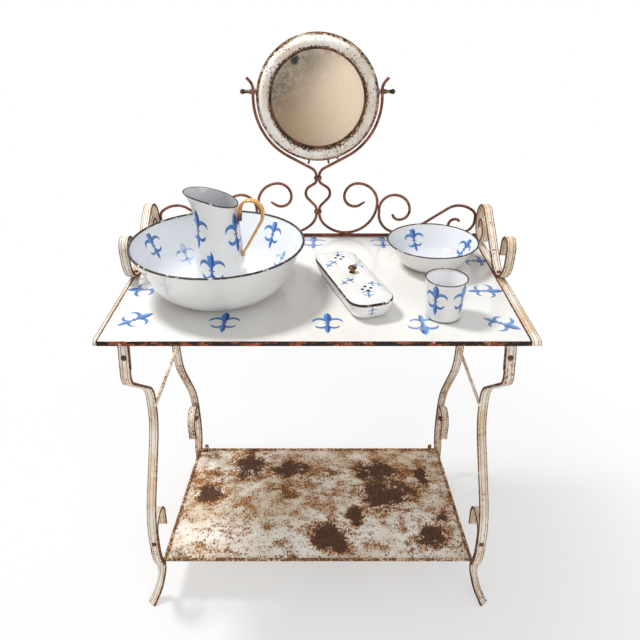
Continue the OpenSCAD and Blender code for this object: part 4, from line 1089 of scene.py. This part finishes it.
def bowl_wall(rim, height, bend, slope, bead):
    """Points of radius, height, distance along the wall and rim mask: out, over and in."""
    c, s = unit(slope)
    run = (height - bead / 2 - SHEET / 2 - bend * (1 - c)) / s
    line = walk((0, SHEET / 2), 0, [(rim - bead - bend * s - run * c,), (bend, slope), (run,)],
                4, 12)
    far = [0.0]
    for (a, _), (b, _) in zip(line, line[1:]):
        far.append(far[-1] + math.dist(a, b))
    centre = (rim - bead, height - bead)

    def offset(side):
        wall = []
        for ((x, z), h), d in zip(line, far):
            c, s = unit(h)
            p = (max(0.0, x + side * SHEET / 2 * s), z - side * SHEET / 2 * c)
            if math.dist(p, centre) > bead:
                wall.append((*p, d, 0.0))
        return wall
    outer, inner = offset(1), offset(-1)
    first, last = (math.atan2(wall[-1][1] - centre[1], wall[-1][0] - centre[0]) / DEG
                   for wall in (outer, inner))
    last += 360 if last < first else 0
    lip = []
    for k in range(1, 14):
        turn = first + (last - first) * k / 14
        c, s = unit(turn)
        lip.append((centre[0] + bead * c, centre[1] + bead * s, far[-1],
                    within(1.9 - abs(turn - 90) / 62)))
    inner = [(r, z, INSIDE + d, m) for r, z, d, m in reversed(inner)]
    return [(0, 0, 0, 0)] + outer[1:] + lip + inner[:-1] + [(0, SHEET, INSIDE, 0)]


def vessel(name, rows, at, finish, node, body, map_r, seam):
    """Rings, each with its rim mask and its level up the map (None: its points' height).
    Across the map runs the angle from the seam, as the way round at the map's radius."""
    rings, rims, levels = [], [], []
    for ring, rim, level in rows:
        rings.append([at + p * MM for p in ring])
        rims += [rim] * len(ring)
        levels += [p.z if level is None else level for p in ring]
    points, faces = skinned(rings)
    mesh = meshed(name, points, (), faces, rim=rims)
    sides = max(map(len, rings))
    column = [k for ring in rings for k in range(len(ring))]
    chart = mesh.uv_layers.new(name="glaze").data
    for face in mesh.polygons:
        k = face.index % sides
        for loop, vertex in zip(face.loop_indices, face.vertices):
            turn = seam - 360 + 360 * (k + (column[vertex] != k)) / sides
            chart[loop].uv = (turn * DEG * map_r * MM, levels[vertex] * MM)
    stand_in(finished(name, mesh, finish), node, body)


def bowl(name, sizes, at, finish, node, body, map_r, seam, sides=128, foot_ring=0):
    """A spun vessel; the enamel is worn at a foot ring, outside that radius."""
    rows = []
    for r, z, d, rim in bowl_wall(*sizes):
        if foot_ring and r > foot_ring and d < INSIDE:
            rim = max(rim, 1.3 - abs(z - 1.1) / 1.5)
        rows.append((ring_at(r, z, sides, seam), rim, d))
    vessel(name, rows, at, finish, node, body, map_r, seam)


def white_enamel(name, places, inside="#eaedf1", holes=False):
    """Thick glossy enamel, black and chipped along its rim, with its lilies."""
    finish = Finish(name, Coat_Weight=0.5, Coat_Roughness=0.06)
    chart = finish.add("ShaderNodeUVMap", {"uv_map": "glaze"})
    u, v, _ = finish.parts(chart)
    finish.colour = finish.mix(finish.noise(11, 3, 0.55, 3.7).between(0.35, 0.65),
                               "#ecebe9", "#e4e2df")
    # Each vessel's inside takes a colour of its own: a cool white tint of the enamel, except in the
    # jug, whose grey inside is painted shade.
    finish.coat(v.between(0.49, 0.51), inside)
    paint_lilies(finish, chart, places)
    fine, chips = finish.noise(210, 5, 0.7, 4.4), finish.noise(55, 4, 0.7, 8.8)
    black = (finish.attribute("rim") + (fine - 0.5) * 1.1).between(0.26, 0.34)
    edge = finish.mix(chips.between(0.46, 0.60), "#16120f", "#3b2b22")
    finish.coat(black, finish.mix((fine * 0.45 + chips * 0.55).between(0.570, 0.590),
                                  edge, "#e6e1d9"))
    dot = (fine * 0.75 + chips * 0.25).between(0.70, 0.72)
    # Painted shade and wear at the lid's drain holes: each hole's wall is coloured near-black as
    # painted shade, and a ring round it is dark where the punched edge has lost its enamel.
    if holes:
        u, v = abs(abs(u) - 0.0792), abs(v)

        def off(a, b):
            return ((u - a) * (u - a) + (v - b) * (v - b)).root()
        dot = dot.most(off(0.009, 0).least(off(0, 0.009)).between(0.0042, 0.0034))
    finish.coat(dot, "#241a15")
    wave = finish.noise(9, 2, 0.5, 2.3) * 3 + finish.noise(60, 2, 0.5, 1.3) * 0.12
    bare = black.most(dot)
    return finish.done(0.12 + bare * 0.5, wave - bare * 0.3, 0.5, 0.0006,
                       coat=0.5 - bare * 0.45)


def around(map_r, level, angles, half_w, half_h, fading=0.0, inside=True):
    """Lily places round a vessel, mirrored where they are seen from inside."""
    level += INSIDE if inside else 0
    return [(a * DEG * map_r * MM, level * MM, 0, (-1 if inside else 1) * half_w * MM,
             half_h * MM, fading) for a in angles]


basin_lilies = around(161, 199, [158.8, 104.2, 49.6, -24, -84, -144], 25, 36, 0.05)
basin_lilies += around(161, 151, [132, 28, -54, -114], 26, 28, 0.85)
bowl("spun_wash_basin", (181, 113, 78, 66, 2.6), on_table(-207, 213, PLAY),
     white_enamel("basin_enamel", basin_lilies), "wash_basin", "basin", 161, 180, 160)

# Bowl and cup: the same enamelled sheet, with thinner rims; the cup's foot has a worn
# black line as well.
bowl_lilies = around(80, 93, [111.9, 13.4, -84, -160], 24, 33)
bowl("enamelled_bowl", (104, 62, 45, 58, 1.8), on_table(263, 338, PLAY),
     white_enamel("bowl_enamel", bowl_lilies, "#e1e4e9"), "small_bowl", "bowl", 80, 250)
cup_lilies = around(38, 80, [-129, -43, 50, 140], 23, 35, inside=False)
bowl("enamelled_cup", (41.5, 85, 6, 85.5, 1.3), on_table(250, 97, PLAY),
     white_enamel("cup_enamel", cup_lilies, "#f8f9fb"), "cup", "cup", 38, 90, 96, 20)

# Jug: a tapering body with a slanted mouth drawn out to a spout on the left. Its ochre
# handle is a strap bent to a gutter, from under the rim to the belly, riveted at its foot.
JUG_SPOT = on_table(-203, 215, SHEET + 2 * PLAY)
JUG_H, JUG_SLANT, JUG_SIDES, JUG_SEAM, JUG_MAP_R = 202, 14, 120, 30, 48


def jug_radius(v):
    return 57 - 16 * v ** 0.9 + 2.5 * v ** 8


def jug_ring(v, inset):
    """The wall at that part of its height, with the slant of the mouth and the spout."""
    ring = []
    for k in range(JUG_SIDES):
        c, s = unit(JUG_SEAM + 360 * k / JUG_SIDES)
        r = jug_radius(v) + 20 * max(0.0, -c) ** 2.5 * v ** 7 - inset
        ring.append(Vector((r * c, r * s, max(SHEET, v * (JUG_H - JUG_SLANT * c)))))
    return ring


def jug_rows():
    levels = [0.03 + 0.94 * (k / 34) for k in range(35)] + [0.98]
    under = [(0, 0, 0), (40, 0, 0), (53, 0, 0), (55.6, 0.4, 1), (56.8, 1.4, 0)]
    outer = [(v, 0, 0) for v in levels] + [
        (0.984, -0.5, 0), (0.988, -1.1, 0.3), (0.994, -1.25, 0.9), (0.999, -0.9, 1), (1, 0.2, 1)]
    inner = [(0.999, 1.2, 0.9), (0.994, 1.6, 0.2)] + [(v, SHEET, 0) for v in reversed(levels)]
    bottom = [(53, SHEET + 0.5, 0), (50, SHEET, 0), (0, SHEET, 0)]
    rows = []
    for flat, wall, level in ((under, outer, None), (bottom, inner, INSIDE)):
        floor = [(ring_at(r, z, JUG_SIDES, JUG_SEAM), rim, level) for r, z, rim in flat]
        side = [(jug_ring(v, inset), rim, level) for v, inset, rim in wall]
        rows += side + floor if rows else floor + side
    return rows


jug_lilies = [(a * DEG * JUG_MAP_R * MM, z * MM, turn, 0.027, 0.043, 0.0) for a, z, turn in (
    (-31, 134, 0), (-104, 64, 2), (-140, 144, 0), (-250, 120, 0), (-195, 55, 0), (-285, 50, 0))]
# The jug's grey inside colour is painted shade down its narrow inside.
vessel("enamelled_jug", jug_rows(), JUG_SPOT, white_enamel("jug_enamel", jug_lilies, "#d4d5d9"),
       "jug_body", "jug", JUG_MAP_R, JUG_SEAM)


def ochre():
    finish = Finish("ochre_handle_enamel", Coat_Weight=0.4, Coat_Roughness=0.12)
    run = finish.attribute("run")
    x, _, _ = finish.parts(finish.attribute("section", "Vector"))
    fine = finish.noise(170, 5, 0.7, 5.2)
    finish.colour = finish.mix(finish.noise(30, 3, 0.6, 1.5).between(0.4, 0.6),
                               "#cf8f36", "#e9b25a")
    finish.coat(abs(x).between(0.62, 1.0) * 0.75, "#96601f")
    ends = run.between(0.026, 0.010).most(run.between(0.222, 0.238))
    worn = (ends * 0.75 + (fine - 0.5) * 0.9).between(0.40, 0.55)
    finish.coat(worn, finish.mix(fine.between(0.4, 0.6), "#2b1a12", "#7d4520"))
    return finish.done(0.22 + worn * 0.5, fine, 0.2, 0.0003)


HANDLE_T, HANDLE_SHEET, HANDLE_HIGH, HANDLE_LOW = 6, 1.8, 0.82, 0.435
handle_off = HANDLE_T / 2 + 0.2
handle_top = (jug_radius(HANDLE_HIGH) + handle_off, HANDLE_HIGH * (JUG_H - JUG_SLANT))
bow_steps = [(25,), (26, -85), (24, -90), (40, -30)]
bow_end = walk(handle_top, 85, bow_steps)[-1][0]
handle_fall = 2 * (bow_end[0] - 20 * (1 - unit(30)[0]) - jug_radius(HANDLE_LOW) - handle_off)
handle_line = walk(handle_top, 85, bow_steps + [(handle_fall,), (20, 30)], 4, 6)
web = HANDLE_T / 2 - HANDLE_SHEET / 2
side_c, side_s = unit(-15)
stations = []
for k, ((x, z), h) in enumerate(handle_line):
    c, s = unit(h)
    r = x - web * s
    stations.append((JUG_SPOT + Vector((r * side_c, r * side_s, z + web * c)) * MM,
                     Vector((c * side_c, c * side_s, s)), Vector((-side_s, side_c, 0)),
                     1 - 0.25 * k / (len(handle_line) - 1)))
handle = strap("ochre_handle", stations, 17, ochre(), HANDLE_SHEET, 0.0, 0.85, 56,
               (HANDLE_T - HANDLE_SHEET) / 0.8)
stand_in(handle, "jug_handle", "jug")
eased("jug_rivets", STEEL, 0.1, "jug")

# Soap or brush dish: a long dish with round ends and a loose, slightly domed lid. Eight
# drain holes are punched through the lid and a turned brass knob stands in its middle.
DISH_SPOT = on_table(73, 198, PLAY)
DISH_L, DISH_W, DISH_CORNER, DISH_H = 264, 95, 35, 36
LID_Z = DISH_H + PLAY


def oblong(inset):
    """Points round the dish, inset from its edge, evenly spread for smooth shading."""
    r = max(1.0, DISH_CORNER - inset)
    half_l, half_w = DISH_L / 2 - inset - r, DISH_W / 2 - inset - r
    bends = [[Vector((sx * half_l + r * c, sy * half_w + r * s)) for c, s in (
        unit(first + 9 * k) for k in range(11))]
        for sx, sy, first in ((1, -1, 270), (1, 1, 0), (-1, 1, 90), (-1, -1, 180))]
    points = []
    for bend, following, count in zip(bends, bends[1:] + bends[:1], (6, 14, 6, 14)):
        points += bend + [bend[-1].lerp(following[0], k / count) for k in range(1, count)]
    return points


def dish_place(x, y, z):
    c, s = unit(-71.5)
    return DISH_SPOT + Vector((x * c - y * s, x * s + y * c, z)) * MM


def dished(name, rows, by_plan, finish):
    """Rings of inset, height and rim mask, closed at both ends, with a map: the plan, or
    the way round and the height."""
    outline, rings = oblong(0), [oblong(inset) for inset, _, _ in rows]
    count, walked = len(outline), [0.0]
    for a, b in zip(outline, outline[1:] + outline[:1]):
        walked.append(walked[-1] + (b - a).length)
    points, faces = skinned([[dish_place(*p, z) for p in ring]
                             for ring, (_, z, _) in zip(rings, rows)])
    for first in (0, len(points) - count):
        faces += [[first + q for q in (k, k + 1, count - 2 - k, count - 1 - k)]
                  for k in range(count // 2 - 1)]
    mesh = meshed(name, points, (), faces, rim=[rim for _, _, rim in rows for _ in outline])
    chart = mesh.uv_layers.new(name="glaze").data
    for face in mesh.polygons:
        ks = [vertex % count for vertex in face.vertices]
        wraps = max(ks) - min(ks) > count / 2
        for loop, vertex, k in zip(face.loop_indices, face.vertices, ks):
            row = vertex // count
            x, y = rings[row][k] if by_plan else (
                walked[count if wraps and k == 0 else k], rows[row][1])
            chart[loop].uv = (x * MM, y * MM)
    return finished(name, mesh, finish)


dish_wall = [(1.6, 33), (2, 28), (2.9, 23.5), (4, 19), (5.5, 14.4), (7.5, 10)]
dish_rows = [(20, 0, 0), (16, 1.0, 0), (13, 3, 0), (10, 6.2, 0)]
dish_rows += [(i, z, 0) for i, z in [*dish_wall[:0:-1], (1.7, 31), dish_wall[0]]]
dish_rows += [(0.6, 33.6, 1), (0.05, 34.4, 1), (0.2, 35.4, 1), (1.2, 36, 1), (2.6, 35.8, 1),
              (3.4, 35.4, 0.6)]
dish_rows += [(i + 1.8, z, 0) for i, z in dish_wall] + [(17, 3.0, 0), (24, SHEET, 0)]
end_lilies = [(across, 0.021, 0, 0.009, 0.011, 0.3) for across in (0.060, 0.375)]
stand_in(dished("soap_dish_base", dish_rows, False, white_enamel("dish_enamel", end_lilies)),
         "soap_dish", "soap_dish")


def dome(inset):
    return LID_Z + 1.4 + 9 * unit(90 * min(1, inset / 30))[1]


lid_rows = [(i, dome(i) - 1.4, 0) for i in (34, 30, 26, 20, 14, 9)]
lid_rows += [(i, LID_Z + z, rim) for i, z, rim in (
    (7, -1, 0), (6.6, -6, 0), (5.4, -6, 0), (5, 0, 0), (0.9, 0, 0.8), (0.4, 0.35, 1),
    (0.4, 0.9, 1), (0.9, 1.4, 1))]
lid_rows += [(i, dome(i), float(i < 2)) for i in (
    1.5, 2.4, 3.2, 5, 7, 9, 11.5, 14, 17, 20, 23, 26, 30, 34)]
lid_lilies = [(x * MM, y * MM, turn, 0.0125, 0.0165, 0.15) for x, y, turn in (
    (-55.6, -26.6, 25), (34.8, -24.3, 15), (99.4, -4.0, 74), (63, 25.9, 160), (-28.1, 26.4, 160),
    (-100, 4, 254))]
lid = dished("soap_dish_lid", lid_rows, True,
             white_enamel("lid_enamel", lid_lilies, holes=True))
HOLE_R = 2.5
middles = [(end * DISH_L * 0.3 + 9 * c, 9 * s) for end in (-1, 1)
           for c, s in map(unit, (0, 90, 180, 270))]
hole_points, hole_faces = [], []
for x, y in middles:
    ring, faces = turned_rings([(0, LID_Z - 8), (HOLE_R, LID_Z - 8), (HOLE_R, LID_Z + 22),
                                (0, LID_Z + 22)], 20)
    hole_faces += [[q + len(hole_points) for q in f] for f in faces]
    hole_points += [dish_place(p.x + x, p.y + y, p.z) for p in ring]
punch = in_scene("punch", outward(meshed("punch", hole_points, (), hole_faces)))
cut = lid.modifiers.new("holes", "BOOLEAN")
cut.operation, cut.solver, cut.object = "DIFFERENCE", "EXACT", punch
settled(lid, 30)
bpy.data.objects.remove(punch)
# The holes' walls are mapped onto their middles, where the lid's finish paints them near-black as
# painted shade.
lid_map = lid.data.uv_layers["glaze"].data
for face in lid.data.polygons:
    for x, y in middles:
        away = face.center - dish_place(x, y, 0)
        if abs(face.normal.z) < 0.5 and math.hypot(away.x, away.y) < (HOLE_R + 0.2) * MM:
            for loop in face.loop_indices:
                lid_map[loop].uv = (x * MM, y * MM)
stand_in(lid, "soap_lid", "soap_lid")
knob_section = [(0, 0), (6.4, 0), (7, 0.4), (7, 1.0), (5.4, 1.5), (3.6, 2.4), (3.2, 3.6),
                (3.25, 5), (4.6, 6), (7.2, 7), (8.6, 8.4), (9, 10), (8.7, 11.6), (7.4, 13.2),
                (5.2, 14.3), (2.4, 14.9), (0, 15)]
knob = turned("turned_lid_knob", knob_section, 48,
              lambda x, y, z: dish_place(x, y, z + dome(32) + GAP),
              old_metal("aged_brass", "#3b2d1b", "#9a7743"))
stand_in(knob, "soap_knob", "soap_lid")

# Room: a plain white floor that fades into a white surround, one small soft lamp high at
# the left and a wide fill in front, with the surround's own even light.


def seen_directly(nodes):
    """1 for what is seen, straight or in a reflection, and 0 for what only gives light."""
    path = nodes.add("ShaderNodeLightPath", out=None).outputs
    camera, glossy, through = (Field(nodes, path["Is %s Ray" % kind])
                               for kind in ("Camera", "Glossy", "Transmission"))
    return camera.most(glossy).most(through)


def floor_paint():
    finish = Finish("white_floor", Roughness=0.9, Base_Color=(0.93, 0.93, 0.93, 1))
    x, y, _ = finish.parts(finish.place())
    glow = finish.add("ShaderNodeEmission", values={"Color": (1, 1, 1, 1), "Strength": 1.0})
    away = (x * x + y * y).root().between(0.5, 1.3, 0.45, 1.0)
    blend = finish.add("ShaderNodeMixShader", values={
        0: away * seen_directly(finish), 1: finish.surface, 2: glow})
    finish.tree.links.new(blend.socket, finish.end.inputs["Surface"])
    return finish.material


FLOOR = 60
floor = in_scene("floor", meshed("floor", [
    (-FLOOR, -FLOOR, 0), (FLOOR, -FLOOR, 0), (FLOOR, FLOOR, 0), (-FLOOR, FLOOR, 0)], (),
    [(0, 1, 2, 3)]))
floor.data.materials.append(floor_paint())

world = bpy.data.worlds.new("studio")
world.use_nodes = True
bpy.context.scene.world = world
sky = Nodes(world.node_tree)
sky.tree.nodes.clear()
light = sky.add("ShaderNodeBackground", values={
    "Color": (1, 1, 1, 1), "Strength": seen_directly(sky) * 0.47 + 0.53})
sky.add("ShaderNodeOutputWorld", values={"Surface": light}, out=None)

for name, spot, target, size, power in (
        ("key_lamp", (-1.1, 0.35, 2.9), (0, 0, 0.8), 0.5, 46),
        ("fill_lamp", (1.2, -2.6, 1.7), (0, 0, 0.6), 2.0, 18)):
    lamp = bpy.data.lights.new(name, "AREA")
    lamp.shape, lamp.size, lamp.energy = "DISK", size, power
    stand = in_scene(name, lamp)
    stand.location = spot
    stand.rotation_euler = (Vector(target) - Vector(spot)).to_track_quat("-Z", "Y").to_euler()

bpy.context.scene.view_settings.view_transform = "Standard"
